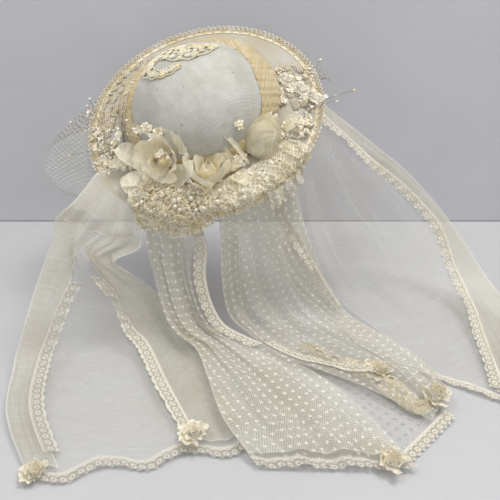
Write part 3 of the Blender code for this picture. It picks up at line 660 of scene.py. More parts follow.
# %% Golden gauze
def gauze_material(name, fresh, aged, alpha, pitch):
    material, tree, shader = new_material(
        name, 0.5, {"Sheen Weight": 0.5, "Specular IOR Level": 0.3}
    )
    threads = cloth_coordinates(tree)
    lean = add_node(tree, "ShaderNodeMapping", {"Vector": threads})
    lean.inputs["Rotation"].default_value = (0, 0, radians(24))
    lean.inputs["Scale"].default_value = (1 / pitch, 0.12 / pitch, 1)
    streaks = add_node(
        tree, "ShaderNodeTexNoise", {"Vector": lean.outputs[0], "Scale": 1.0, "Detail": 4.0, "Roughness": 0.65}
    ).outputs[0]
    place = add_node(tree, "ShaderNodeTexCoord").outputs["Object"]
    age = use_group(tree, AGEING, {"Vector": place, "Patches": 30.0, "Fresh": fresh, "Aged": aged})
    shade = mix_colour(tree, blend_range(tree, streaks, 0.42, 0.62), aged, age[0])
    opacity = blend_range(tree, streaks, 0.3, 0.6, alpha, 1.0)
    wire_up(
        tree, shader, Base_Color=shade, Alpha=opacity, Normal=bump(tree, streaks, 0.0016, 0.9)
    )
    return material


GOLD_GAUZE = gauze_material("golden gauze", rgb(236, 221, 184), rgb(214, 190, 138), 0.7, 0.0022)

# %% The band
BAND_FULLNESS = [
    (-40, 0.0), (-15, 0.75), (20, 1.0), (160, 1.0), (190, 0.7), (215, 0.0), (320, 0.0),
]


def band_surface(along, across):
    angle = 360 * along - 40
    fullness = read_table(BAND_FULLNESS, angle)[0]
    bulge = 0.004 + 0.011 * fullness
    right = smoothstep(-35, 5, angle) * smoothstep(100, 50, angle)
    top = BAND_HEIGHT + 0.006 * fullness + 0.018 * right
    height = 0.0046 + (top - 0.0046) * across
    lean = angle + 16 * across
    gather = 0.5 * sin(radians(58 * lean) + 1) + 0.35 * sin(radians(91 * lean))
    gather += 0.8 * noise.noise(Vector((lean * 0.42, across * 1.6, 3)))
    rounded = max(0.0, sin(pi * (0.12 + 0.88 * across))) ** 0.7
    behind = smoothstep(25, 70, angle) * smoothstep(190, 140, angle)
    bulge += 0.016 * behind * (1 - across) ** 0.6
    radius = crown_radius_at(height) + 0.0010 - 0.0008 * across + bulge * rounded
    radius += 0.0016 * gather * rounded * (0.45 + 0.55 * fullness)
    return on_hat(angle, radius, height + 0.0008 * gather * across)


band = lay_cloth(band_surface, 720, 14, closed=True)
add_piece("gathered_band", band, GOLD_GAUZE, ("crown_band",))

# %% [markdown]
# ## Lace flowers
#
# The lace on the dome and the brim is made of small corded flowers, cut out and sewn down. A lace
# picture on a flat strip would look printed from near by, so one flower is made of thread rings round
# a bead and stamped along the motif, with a cord that joins the flowers.

# %% One lace flower
def lace_flower(radius, petals):
    flower = bmesh.new()
    ring = small_ring(radius * 0.34, radius * 0.15, 8, 4)
    for petal in range(petals):
        turn = Matrix.Rotation(2 * pi * petal / petals, 4, "Z")
        stamp(flower, ring, turn @ Matrix.Translation((radius * 0.62, 0, radius * 0.10)))
    stamp(flower, small_ball(radius * 0.24, 6, 4), Matrix.Translation((0, 0, radius * 0.12)))
    return ready_shape(flower)


FLOWER = lace_flower(0.0050, 5)
SMALL_FLOWER = lace_flower(0.0036, 5)

# %% The lace on the dome
# share of its length, place over the opening (mm to the right, mm to the front), rows of flowers
DOME_LACE_ROUTE = [
    (0.00, -9, 10, 1.0), (0.10, -18, 5, 1.0), (0.20, -29, 4, 1.0), (0.31, -41, 10, 1.2),
    (0.43, -49, 24, 1.6), (0.54, -46, 38, 2.0), (0.65, -29, 42, 2.2), (0.76, -9, 34, 3.4),
    (0.84, 6, 31, 3.4), (0.92, 20, 31, 2.2), (1.00, 34, 38, 1.0),
]


def dome_place(right, front, out):
    """A point over the dome, given on its plan, and the way it faces."""
    radius = sqrt(right * right + front * front)
    share = min(0.985, radius / (CROWN_RADIUS + out))
    height = (CROWN_HEIGHT + out) * (1 - share**CROWN_ROUNDNESS) ** (1 / CROWN_ROUNDNESS)
    here = TIPPED @ Vector((right, front, height))
    slope = Vector((
        right / radius * share ** (CROWN_ROUNDNESS - 1), front / radius * share ** (CROWN_ROUNDNESS - 1),
        (height / CROWN_HEIGHT) ** (CROWN_ROUNDNESS - 1),
    ))
    return here, (TIPPED.to_3x3() @ slope).normalized()


def lace_route(along):
    """The middle of the lace on the dome's plan, the way across it, and its rows."""
    right, front, rows = read_table(DOME_LACE_ROUTE, along)
    ahead = Vector(read_table(DOME_LACE_ROUTE, min(1, along + 0.01))[:2])
    behind = Vector(read_table(DOME_LACE_ROUTE, max(0, along - 0.01))[:2])
    way = (ahead - behind).normalized()
    return Vector((right, front)) / 1000, Vector((-way.y, way.x)), rows


luck = Random(7)
dome_lace = bmesh.new()
for step in range(24):
    middle, aside, rows = lace_route(step / 23)
    count = max(1, round(rows))
    for row in range(count):
        spot = middle + aside * 0.0078 * (row - (count - 1) / 2)
        spot += Vector((luck.uniform(-0.8, 0.8), luck.uniform(-0.8, 0.8))) / 1000
        point, facing = dome_place(spot.x, spot.y, 0.0014)
        shape = FLOWER if (step + row) % 3 else SMALL_FLOWER
        stamp(dome_lace, shape, placed(point, facing, luck.uniform(0.8, 1.05), luck.uniform(0, 2)))
for side in (-1, 1):
    cord = []
    for step in range(61):
        middle, aside, rows = lace_route(step / 60)
        spot = middle + aside * side * (0.0039 * rows + 0.0014 + 0.0009 * sin(2 * pi * 11 * step / 60))
        cord.append(dome_place(spot.x, spot.y, 0.0012)[0])
    add_thread(dome_lace, cord, 0.0007, 4)
add_piece("dome_lace", dome_lace, PALE_THREAD, ("crown_lace",))


# %% The lace on the brim
def brim_lace(name, start, end, inner, outer, seed, stands_for):
    chance = Random(seed)
    motif = bmesh.new()
    flowers = int((end - start) / 2.6)
    for step in range(flowers + 1):
        angle = start + (end - start) * step / flowers
        swell = sin(pi * (0.08 + 0.84 * step / flowers)) ** 0.5
        for row in range(3):
            radius = (inner + outer) / 2 + (outer - inner) * swell * (row / 2 - 0.5) * 0.8
            radius += chance.uniform(-0.0015, 0.0015)
            facing = hat_way(chance.uniform(0, 360), chance.uniform(72, 90))
            point = on_hat(angle + chance.uniform(-1.2, 1.2), radius, brim_top(radius) + 0.0012)
            shape = FLOWER if chance.random() < 0.6 else SMALL_FLOWER
            stamp(motif, shape, placed(point, facing, chance.uniform(0.8, 1.1), chance.uniform(0, 2)))
    for side in (-1, 1):
        cord = []
        for step in range(41):
            swell = sin(pi * (0.08 + 0.84 * step / 40)) ** 0.5
            radius = (inner + outer) / 2 + side * (outer - inner) / 2 * swell * 0.98
            radius += 0.0012 * sin(step * 1.9)
            cord.append(on_hat(start + (end - start) * step / 40, radius, brim_top(radius) + 0.001))
        add_thread(motif, cord, 0.0007, 4)
    return add_piece(name, motif, SHADED_RIM_THREAD, stands_for)


brim_lace("brim_flowers_left", 118, 180, 0.114, 0.140, 11, ("brim_lace_left",))
brim_lace("brim_flowers_right", -9, 24, 0.106, 0.138, 12, ("brim_lace_right",))

# %% [markdown]
# ## Organza roses
#
# Each rose is stiff organza: a rolled heart and cupped petals with rolled hems, sewn against the dome.
# One spiral sheet would give a rosette, but the real petals overlap as separate cups, so every petal is
# a grid bent into a cup. The cloth is sheer, so where petals overlap they read deeper and warmer.

# %% Organza
def organza_material(
    name, fresh, aged, sheer, dense, painted_glow=0.0, hem_cover=0.95, grain=(30, 260, 1), relief=0.4
):
    """Sheer cloth: see-through in the middle, denser and whiter at its hem, with a fine warp and soft creases.
    painted_glow makes the cloth glow a little, which is painted light; part of the hem's whiteness is a painted
    highlight.
    """
    material, tree, shader = new_material(
        name, 0.45, {"Sheen Weight": 0.35, "Sheen Roughness": 0.35, "Emission Strength": painted_glow}
    )
    threads = cloth_coordinates(tree)
    place = add_node(tree, "ShaderNodeTexCoord").outputs["Object"]
    age = use_group(tree, AGEING, {"Vector": place, "Patches": 18.0, "Fresh": fresh, "Aged": aged})
    warp = use_group(tree, WEAVE, {"Vector": threads, "Pitch": 0.0011})[0]
    long_streaks = add_node(tree, "ShaderNodeMapping", {"Vector": threads})
    long_streaks.inputs["Scale"].default_value = grain
    streaks = add_node(
        tree, "ShaderNodeTexNoise", {"Vector": long_streaks.outputs[0], "Scale": 1.0, "Detail": 3.0}
    ).outputs[0]
    hem = hem_mark(tree)
    body = blend_range(tree, streaks, 0.35, 0.68, sheer, dense)
    alpha = maths(tree, "MAXIMUM", maths(tree, "MULTIPLY", hem, hem_cover), body)
    # Towards the hem the colour turns near-white. The rolled hem is denser, and part of this whiteness is a painted
    # highlight along the edge.
    colour = mix_colour(tree, maths(tree, "MULTIPLY", hem, 0.7), age[0], rgb(252, 250, 238))
    ribs = maths(tree, "MULTIPLY_ADD", streaks, 0.8, warp)
    # Emission takes the cloth's own colour, so painted_glow makes the cloth glow a little: painted light, not a lamp.
    wire_up(
        tree, shader, Base_Color=colour, Alpha=alpha, Emission_Color=colour,
        Normal=bump(tree, ribs, 0.0003, relief),
    )
    return material


PETAL_GRAIN = (170, 30, 1)
# The rose organzas glow a little (0.08, 0.04 and 0.05 below): painted light that brightens them.
PETAL_ORGANZA = organza_material(
    "petal organza", rgb(240, 233, 208), rgb(226, 213, 172), 0.50, 0.80, 0.08, grain=PETAL_GRAIN
)
WHITE_ORGANZA = organza_material(
    "white organza", rgb(226, 220, 196), rgb(210, 198, 160), 0.55, 0.85, 0.04, grain=PETAL_GRAIN
)
# The heart is deeper and browner than the petals. The rolled layers are warmer, and the rest is painted shade inside
# the rose's cup.
SHADED_HEART_ORGANZA = organza_material(
    "rose heart, painted shade", rgb(234, 222, 184), rgb(208, 184, 134), 0.70, 0.92, 0.05, grain=PETAL_GRAIN
)


# %% Petals
def rose_frame(angle, seat, height, rise=45):
    """Where a rose stands: its Z looks outwards and up."""
    return placed(on_hat(angle, seat, height), hat_way(angle, rise))


def add_petal(flower, frame_of, turn, half, foot, lip, low, high, curl, wave, phase):
    """Adds one cupped petal: half is its half width in degrees, lip its reach, high its height."""

    def surface(along, across):
        side = 2 * along - 1
        spread = half * (0.55 + 0.45 * sin(pi / 2 * min(1, 1.25 * across)))
        at = radians(turn + side * spread)
        round_lip = 1 - 0.42 * abs(side) ** 2.2
        cup = sin(pi / 2 * across) ** 0.8
        reach = foot + (lip - foot) * cup + curl * across**5
        reach *= 1 - 0.05 * side * side * across
        rise = low + (high - low) * across**1.15 * round_lip
        rise += wave * sin(5 * side + phase) * across**2 - 0.5 * curl * across**6
        spot = Vector((reach * cos(at), reach * sin(at), rise))
        crumple = noise.noise_vector(spot * 60 + Vector((turn, phase, 0))) * 0.0064 * across
        crumple += noise.noise_vector(spot * 150 + Vector((phase, turn, 0))) * 0.0022 * across
        return frame_of @ (spot + crumple)

    lay_cloth(surface, 18, 12, into=flower, hem=0.0015)


def add_heart(flower, frame_of, radius, height, turns):
    """The rolled strip in the middle of a rose."""

    def surface(along, across):
        at = 2 * pi * turns * along
        reach = radius * (0.18 + 0.82 * along) * sin(pi * (0.16 + 0.66 * across))
        rise = height * (0.15 + 0.85 * across) * (1 - 0.22 * along - 0.08 * sin(3 * at))
        spot = Vector((reach * cos(at), reach * sin(at), rise))
        return frame_of @ (spot + noise.noise_vector(spot * 120) * 0.0024 * across)

    lay_cloth(surface, 80, 10, into=flower, hem=0.001)


def add_rose(name, frame_of, petals, heart, stands_for):
    hearts = bmesh.new()
    add_heart(hearts, frame_of, *heart)
    add_piece(name + "_heart", hearts, SHADED_HEART_ORGANZA)
    cups = bmesh.new()
    for petal in petals:
        add_petal(cups, frame_of, *petal)
    return add_piece(name + "_petals", cups, PETAL_ORGANZA, stands_for)


# turn, half width, foot, lip, low, high, curl, wave, phase (degrees and metres)
LEFT_ROSE = [
    (60, 72, 0.004, 0.012, 0.002, 0.021, 0.001, 0.0010, 0.0),
    (200, 78, 0.004, 0.013, 0.002, 0.018, 0.001, 0.0010, 1.0),
    (318, 60, 0.004, 0.014, 0.002, 0.016, 0.003, 0.0010, 2.0),
    (0, 58, 0.008, 0.021, 0.001, 0.024, 0.003, 0.0012, 0.4),
    (262, 56, 0.007, 0.023, 0.001, 0.012, 0.004, 0.0016, 1.1),
    (92, 60, 0.008, 0.022, 0.001, 0.022, 0.002, 0.0014, 0.9),
    (150, 60, 0.009, 0.024, 0.001, 0.018, 0.003, 0.0014, 2.4),
    (192, 62, 0.013, 0.034, -0.001, 0.012, 0.002, 0.0018, 2.9),
    (318, 46, 0.011, 0.030, -0.001, 0.008, 0.005, 0.0020, 0.1),
    (246, 46, 0.012, 0.030, -0.001, 0.007, 0.004, 0.0020, 1.9),
    (70, 54, 0.013, 0.030, -0.001, 0.016, 0.004, 0.0018, 0.2),
]
MIDDLE_ROSE = [
    (90, 96, 0.008, 0.027, 0.000, 0.042, 0.002, 0.0012, 0.6),
    (84, 58, 0.006, 0.018, 0.001, 0.037, 0.004, 0.0010, 1.2),
    (140, 44, 0.003, 0.013, 0.000, 0.028, 0.002, 0.0012, 0.3),
    (30, 46, 0.003, 0.014, 0.000, 0.030, 0.002, 0.0012, 2.3),
    (192, 86, 0.008, 0.025, 0.000, 0.031, 0.000, 0.0012, 0.5),
    (346, 84, 0.008, 0.025, 0.000, 0.033, 0.000, 0.0012, 1.5),
    (228, 40, 0.010, 0.027, 0.000, 0.017, 0.002, 0.0018, 2.2),
]


def leaning_frame(point, axis):
    return placed(point, Vector(axis).normalized())


def add_bud(flower, frame_of, width, height, turns):
    """A closed bud: one sheet wound round itself, narrow at its foot and at its top."""

    def surface(along, across):
        at = 2 * pi * turns * (along - 0.5) - pi / 2 + 0.8
        full = width * (0.86 + 0.14 * along) * max(0.0, sin(pi * (0.13 + 0.84 * across))) ** 0.75
        lip = 1 - 0.10 * (2 * along - 1) ** 4
        spot = Vector((full * cos(at), full * sin(at), height * across * lip))
        crease = 0.0007 * sin(4 * at + 7 * across) * across
        return frame_of @ (spot * (1 + crease / width) + noise.noise_vector(spot * 70) * 0.0016 * across)

    lay_cloth(surface, 56, 18, into=flower, hem=0.0016)


add_rose("rose_left", rose_frame(240, 0.089, 0.026, 52), LEFT_ROSE, (0.0115, 0.026, 2.4), ("rose_left",))
middle_frame = leaning_frame(on_hat(269, 0.104, 0.008), (0.02, -0.30, 0.95))
add_rose("rose_middle", middle_frame, MIDDLE_ROSE, (0.0125, 0.028, 2.2), ("rose_middle",))
bud_frame = leaning_frame(on_hat(305, 0.095, 0.004), (0.46, 0.18, 0.87))
bud = bmesh.new()
add_bud(bud, bud_frame, 0.0220, 0.054, 1.3)
add_petal(bud, bud_frame, 318, 62, 0.010, 0.029, 0.0, 0.034, 0.001, 0.0012, 2.4)
add_petal(bud, bud_frame, 180, 44, 0.010, 0.026, 0.0, 0.026, 0.002, 0.0012, 0.2)
add_piece("rose_bud", bud, WHITE_ORGANZA, ("rose_bud",))


# %% [markdown]
# ## Loose petals and loops
#
# Between the roses stand loose petals and loops of the same organza, folded from a bias strip. A flat
# leaf shape would look cut out, so each one is a sheet that arches up from its stitch and cups along
# its middle.

# %% Leaves and loops
def add_leaf(shape, foot, heading, length, width, rise, cup, roll=0.0):
    """Adds one organza leaf. heading is round the hat; roll turns its side up, both in degrees."""
    out = hat_way(heading, 0)
    lift = hat_way(0, 90)
    side = (hat_way(heading + 90, 0) * cos(radians(roll)) + lift * sin(radians(roll))).normalized()

    def surface(along, across):
        half = width / 2 * (0.20 + 0.80 * sin(pi * (0.06 + 0.90 * along)) ** 0.8)
        hollow = width * cup * (2 * across - 1) ** 2 * sin(pi * along)
        arch = rise * sin(pi * 0.55 * along)
        ripple = 0.0008 * sin(9 * along + 5 * across) * along
        return foot + out * length * along + side * half * (2 * across - 1) + lift * (arch + hollow + ripple)

    lay_cloth(surface, 16, 10, into=shape, hem=0.0016)


def one_leaf(name, stands_for, *leaf):
    shape = bmesh.new()
    add_leaf(shape, *leaf)
    return add_piece(name, shape, WHITE_ORGANZA, stands_for)


def brim_foot(angle, radius):
    return on_hat(angle, radius, brim_top(radius) + 0.001)


one_leaf("petal_upper", ("leaf_upper",), brim_foot(226, 0.100), 140, 0.046, 0.026, 0.020, 0.24)
one_leaf("petal_lower", ("leaf_lower",), brim_foot(218, 0.112), 262, 0.036, 0.024, 0.012, 0.22)
one_leaf(
    "petal_rolled", ("leaf_rolled",), on_hat(297, 0.106, 0.012), 128, 0.038, 0.009, 0.026, 0.5, 30
)
loose = bmesh.new()
add_leaf(loose, brim_foot(233, 0.108), 190, 0.036, 0.022, 0.014, 0.24)
add_leaf(loose, brim_foot(231, 0.116), 238, 0.032, 0.024, 0.010, 0.20)
add_leaf(loose, brim_foot(252, 0.108), 255, 0.026, 0.024, 0.012, 0.26)
add_leaf(loose, brim_foot(286, 0.104), 300, 0.030, 0.020, 0.014, 0.30)
add_leaf(loose, brim_foot(213, 0.104), 190, 0.030, 0.016, 0.012, 0.30)
add_leaf(loose, brim_foot(329, 0.106), 10, 0.028, 0.020, 0.012, 0.26)
add_piece("loose_petals", loose, PETAL_ORGANZA)

# %% [markdown]
# ## Blossoms, sequins and pearls on wires
#
# Small glossy blossoms, sequins and pearls fill the gaps between the roses, and single pearls stand out
# on thin wires. They could be scattered by a particle system, but a few seeded handfuls, each with its
# own place and spread, keep them where the maker sewed them.

# %% Glossy blossom and wire
# The blossoms glow a little (Emission Strength 0.12, in their own colour): painted light that brightens them. The coat
# is their real gloss.
BLOSSOM_GLOSS_PAINTED_LIGHT, tree, shader = new_material(
    "blossom gloss, painted light", 0.22,
    {"Coat Weight": 0.5, "Coat Roughness": 0.1, "Specular IOR Level": 0.8, "Emission Strength": 0.12},
)
place = add_node(tree, "ShaderNodeTexCoord").outputs["Object"]
age = use_group(
    tree, AGEING,
    {"Vector": place, "Patches": 220.0, "Fresh": rgb(250, 247, 236), "Aged": rgb(216, 200, 156)},
)
wire_up(
    tree, shader, Base_Color=age[0], Emission_Color=age[0],
    Roughness=blend_range(tree, age[1], 0, 1, 0.15, 0.35),
)
WIRE, tree, shader = new_material("silvered wire", 0.32, {"Metallic": 0.85})
place = add_node(tree, "ShaderNodeTexCoord").outputs["Object"]
age = use_group(
    tree, AGEING,
    {"Vector": place, "Patches": 300.0, "Fresh": rgb(190, 188, 182), "Aged": rgb(120, 112, 96)},
)
wire_up(tree, shader, Base_Color=age[0])


# %% Blossom shapes
def blossom_shape(radius, petals):
    blossom = bmesh.new()
    for petal in range(petals):
        lean = Matrix.Rotation(2 * pi * petal / petals, 4, "Z") @ Matrix.Translation((radius * 0.6, 0, 0))
        lean = lean @ Matrix.Rotation(radians(-28), 4, "Y") @ Matrix.Diagonal((1, 0.8, 1, 1))
        bmesh.ops.create_circle(blossom, cap_ends=True, segments=7, radius=radius * 0.5, matrix=lean)
    centre = Matrix.Translation((0, 0, radius * 0.05))
    bmesh.ops.create_uvsphere(blossom, u_segments=6, v_segments=4, radius=radius * 0.22, matrix=centre)
    return ready_shape(blossom)


def sequin_shape(radius):
    sequin = bmesh.new()
    bmesh.ops.create_cone(
        sequin, cap_ends=True, segments=8, radius1=radius, radius2=radius * 0.55, depth=radius * 0.3
    )
    return ready_shape(sequin)


BLOSSOM = blossom_shape(0.0042, 5)
SEQUIN = sequin_shape(0.0019)

# %% Handfuls of blossoms and sequins
# angle, radius, height, spread round, spread outwards, blossoms, sequins, pearls (mm and degrees)
HANDFULS = [
    (217, 73, 51, 3.5, 3, 8, 6, 3), (207, 80, 41, 4, 3, 7, 6, 4), (232, 72, 53, 4, 2.5, 8, 6, 2),
    (224, 76, 46, 9, 3, 9, 10, 3), (306, 77, 45, 3, 4, 6, 4, 1), (291, 98, 14, 6, 5, 14, 14, 2),
    (288, 115, 12, 6, 5, 12, 14, 2), (22, 113, 4, 6, 7, 3, 12, 2), (13, 140, 4, 4, 5, 3, 10, 3),
    (357, 131, 4, 7, 9, 6, 26, 5), (0, 98, 8, 7, 5, 5, 14, 5), (8, 119, 4, 8, 9, 4, 22, 3),
    (338, 128, 6, 8, 12, 9, 20, 5), (330, 112, 10, 6, 8, 7, 12, 4), (164, 157, 3, 3, 3, 1, 3, 3),
    (202, 136, 6, 5, 9, 7, 14, 12), (177, 142, 5, 5, 6, 4, 8, 8), (191, 132, 6, 8, 9, 7, 16, 14),
    (194, 120, 9, 8, 9, 6, 12, 12), (206, 112, 12, 7, 8, 6, 8, 8), (186, 106, 16, 9, 7, 3, 8, 6),
    (255, 112, 12, 10, 7, 3, 8, 8), (243, 96, 46, 3, 3, 3, 4, 2), (222, 104, 24, 3, 4, 5, 3, 2),
    (262, 113, 11, 3, 3, 4, 2, 1),
]


def scattered(chance, angle, radius, height, round_by, out_by):
    """A point near a place on the hat, never inside the dome, and the way it faces."""
    at = angle + chance.gauss(0, 0.55) * round_by
    far = (radius + chance.gauss(0, 0.55) * out_by) / 1000
    up = (height + chance.uniform(-2.0, 2.5)) / 1000
    far = max(far, crown_radius_at(up) + 0.0015)
    up = max(up, brim_top(far) + 0.0012) if far < BRIM_RADIUS + 0.002 else up
    facing = hat_way(at + chance.uniform(-40, 40), chance.uniform(25, 85))
    return on_hat(at, far, up), facing


chance = Random(21)
blossoms, sequins, pearls = bmesh.new(), bmesh.new(), bmesh.new()
for angle, radius, height, round_by, out_by, flower_count, sequin_count, pearl_count in HANDFULS:
    for shape, mesh, count, low, high in (
        (blossoms, BLOSSOM, flower_count, 0.75, 1.15),
        (sequins, SEQUIN, sequin_count, 0.8, 1.3),
        (pearls, PEARL_BALL, pearl_count, 0.5, 0.9),
    ):
        for _ in range(count):
            point, facing = scattered(chance, angle, radius, height, round_by, out_by)
            stamp(shape, mesh, placed(point, facing, chance.uniform(low, high), chance.uniform(0, 6)))
add_piece("blossoms", blossoms, BLOSSOM_GLOSS_PAINTED_LIGHT)
add_piece("sequins", sequins, BLOSSOM_GLOSS_PAINTED_LIGHT, smooth=False)
add_piece("sewn_pearls", pearls, PEARL)


# %% Pearls on wires
def spray(name, knot, tips, stands_for):
    """Wires that leave one knot on the brim, each with a pearl at its tip and a bead on the way."""
    wires, balls = bmesh.new(), bmesh.new()
    for index, (angle, radius, height) in enumerate(tips):
        tip = on_hat(angle, radius, height)
        lift = hat_way(0, 90) * (0.20 + 0.06 * (index % 3)) * (tip - knot).length
        points = bow(knot, tip, lift)
        add_thread(wires, points, 0.00034, 4)
        stamp(balls, PEARL_BALL, placed(tip, hat_way(angle, 30), 0.9))
        stamp(balls, SEED, placed(points[5], hat_way(angle, 60)))
    stamp(balls, PEARL_BALL, placed(knot, hat_way(0, 90), 0.8))
    add_piece(name + "_wires", wires, WIRE, stands_for)
    add_piece(name + "_pearls", balls, PEARL)


def rim_share(share):
    return CROWN_RADIUS + (BRIM_RADIUS - CROWN_RADIUS) * share


spray(
    "spray_left", brim_foot(196, rim_share(0.55)),
    [(174, rim_share(1.31), 0.019), (190, rim_share(1.39), 0.012), (164, rim_share(1.06), 0.016),
     (181, rim_share(0.97), 0.020), (201, rim_share(0.95), 0.016), (186, rim_share(0.7), 0.022),
     (158, rim_share(1.14), 0.010)],
    ("spray_left",),
)
spray(
    "spray_crown", brim_foot(200, rim_share(0.35)),
    [(153, rim_share(0.03), 0.040), (168, rim_share(0.02), 0.045), (196, rim_share(0.02), 0.046),
     (160, rim_share(0.10), 0.034), (174, rim_share(0.10), 0.036), (210, rim_share(0.0), 0.050)],
    ("spray_crown",),
)
spray(
    "spray_right", brim_foot(346, rim_share(0.68)),
    [(352, rim_share(1.6), 0.018), (348, rim_share(1.27), 0.015), (13, rim_share(1.16), 0.015),
     (336, rim_share(0.87), 0.016), (355, rim_share(0.80), 0.014), (2, rim_share(0.55), 0.013),
     (341, rim_share(1.05), 0.011), (333, rim_share(0.6), 0.018)],
    ("spray_right",),
)

# %% [markdown]
# ## Net
#
# The net is cotton, twisted into diamond cells, with sewn spots on the veils at the back. Real threads
# could be modelled, and a hundred thousand of them would be needed, so the cells are cut out of the
# sheet by the shader instead. The pattern follows the cloth's own UV map, so it gathers and folds with
# the sheet.

# %% Net materials
def net_material(
    name, fresh, aged, cell, thread, ground, spot=0.0, haze=0.0, pitch=0.0105,
    dots=rgb(240, 238, 228), cover=0.66,
):
    """Net: threads of the given width, a faint ground between them, and sewn spots if spot is over 0."""
    material, tree, shader = new_material(
        name, 0.6, {"Sheen Weight": 0.3, "Specular IOR Level": 0.3}
    )
    threads = cloth_coordinates(tree)
    place = add_node(tree, "ShaderNodeTexCoord").outputs["Object"]
    age = use_group(tree, AGEING, {"Vector": place, "Patches": 16.0, "Fresh": fresh, "Aged": aged})
    mesh = use_group(tree, NET, {"Vector": threads, "Cell": cell, "Thread": thread})[0]
    cloudy = add_node(tree, "ShaderNodeTexNoise", {"Vector": place, "Scale": 34.0, "Detail": 3.0})
    base = blend_range(tree, cloudy.outputs[0], 0.35, 0.65, ground, ground + haze)
    alpha = maths(tree, "MAXIMUM", blend_range(tree, mesh, 0, 1, 0.0, 0.92), base)
    colour = age[0]
    if spot:
        round_spots = use_group(tree, SPOTS, {"Vector": threads, "Pitch": pitch, "Radius": spot})[0]
        alpha = maths(tree, "MAXIMUM", alpha, maths(tree, "MULTIPLY", round_spots, cover))
        colour = mix_colour(tree, round_spots, age[0], dots)
    hem = hem_mark(tree)
    alpha = maths(tree, "MAXIMUM", alpha, maths(tree, "MULTIPLY", hem, 0.8))
    edged = mix_colour(tree, maths(tree, "MULTIPLY", hem, 0.7), colour, fresh)
    wire_up(tree, shader, Base_Color=edged, Alpha=alpha)
    return material


RUFFLE_NET = net_material(
    "ruffle net", rgb(250, 245, 226), rgb(238, 226, 190), 0.0060, 0.0012, 0.16, haze=0.36
)
RUFFLE_LINING = net_material(
    "ruffle lining", rgb(240, 228, 194), rgb(222, 202, 156), 0.0050, 0.0012, 0.55, haze=0.35
)
FACE_NET = net_material("face net", rgb(190, 187, 176), rgb(166, 162, 148), 0.0062, 0.0010, 0.02)
SPOTTED_NET = net_material(
    "spotted net", rgb(216, 212, 198), rgb(208, 200, 178), 0.0021, 0.0003, 0.20, 0.0021, haze=0.16
)
FLAT_NET = net_material(
    "single spotted net", rgb(222, 221, 214), rgb(214, 210, 198), 0.0021, 0.0002, 0.04, 0.0019,
    dots=rgb(186, 184, 176), cover=0.8,
)

# %% [markdown]
# ## The net ruffles
#
# Two ruffles of net are gathered below the roses. Each stands up from its seam, arches over the braid
# and hangs, crumpled, and is strewn with pearls. Simulated cloth would crumple by itself, but the seam
# and the arch are known, so several layers follow one section with their own gathers and noise.

# %% Ruffles
RUFFLE_SECTION = [
    (0.00, 0.00, 0.00, 0.0), (0.18, 0.22, 0.42, 0.3), (0.42, 0.62, 0.96, 0.8),
    (0.66, 1.04, 0.92, 1.0), (0.84, 1.26, 0.20, 1.0), (1.00, 1.30, -0.50, 1.0),
]


def ruffle_surface(start, end, gathers, shift, rise, hang, crumple, beyond=0.011):
    """A ruffle as a surface between two angles round the hat; beyond is how far it passes the rim."""
    seam = rim_share(0.32)

    def surface(along, across):
        angle = start + (end - start) * along
        outward, lift, depth = read_table(RUFFLE_SECTION, across)
        radius = seam + (BRIM_RADIUS - seam) * min(outward, 1.04)
        free = smoothstep(0, 0.14, along) * smoothstep(1, 0.72, along)
        radius += beyond * (0.3 + 0.7 * free) * smoothstep(0.9, 1.3, outward)
        height = brim_top(radius) + 0.0014 + (rise + 0.0022) * lift
        wave = sin(2 * pi * gathers * along + shift + 1.4 * across)
        wave += 0.6 * sin(2 * pi * 1.7 * gathers * along + 2 * shift - 2 * across)
        pleat = 0.0012 * depth * wave
        drop = hang * (0.35 + 0.65 * free) * smoothstep(0.78, 1.0, across)
        point = on_hat(angle, radius + pleat * smoothstep(0.6, 0.9, across), height + pleat * 0.8)
        rough = noise.noise_vector(Vector((angle * 0.30, across * 6, shift))) * crumple * 1.25
        rough += noise.noise_vector(Vector((angle * 0.8, across * 15, shift))) * crumple * 0.7
        drop *= 1 + 0.35 * noise.noise(Vector((angle * 0.25, shift, 0)))
        return point + DOWN * drop + (TIPPED.to_3x3() @ rough) * depth + UP * crumple * depth

    return surface


def ruffle(name, start, end, gathers, seed, hangs, beyond, stands_for):
    shape = bmesh.new()
    for layer, (rise, hang) in enumerate(zip((0.0100, 0.0060), hangs)):
        shift = seed + 2.1 * layer
        lay_cloth(
            ruffle_surface(start, end, gathers + layer, shift, rise, hang, 0.0034, beyond),
            150, 26, into=shape,
        )
    sheet = add_piece(name, shape, RUFFLE_NET, stands_for)
    under = bmesh.new()
    lining_hang = hangs[0] * 0.45
    lining_surface = ruffle_surface(start, end, gathers, seed + 4, 0.004, lining_hang, 0.0016, beyond)
    lay_cloth(lining_surface, 90, 16, into=under)
    lining = add_piece(name + "_lining", under, RUFFLE_LINING)
    return ruffle_surface(start, end, gathers, seed, 0.0105, hangs[0], 0.0034, beyond)


left_ruffle = ruffle("ruffle_left", 231, 270, 11, 0.4, (0.010, 0.014), 0.009, ("pouf_left",))
right_ruffle = ruffle("ruffle_right", 268, 322, 13, 1.7, (0.000, 0.002), 0.002, ("pouf_right",))

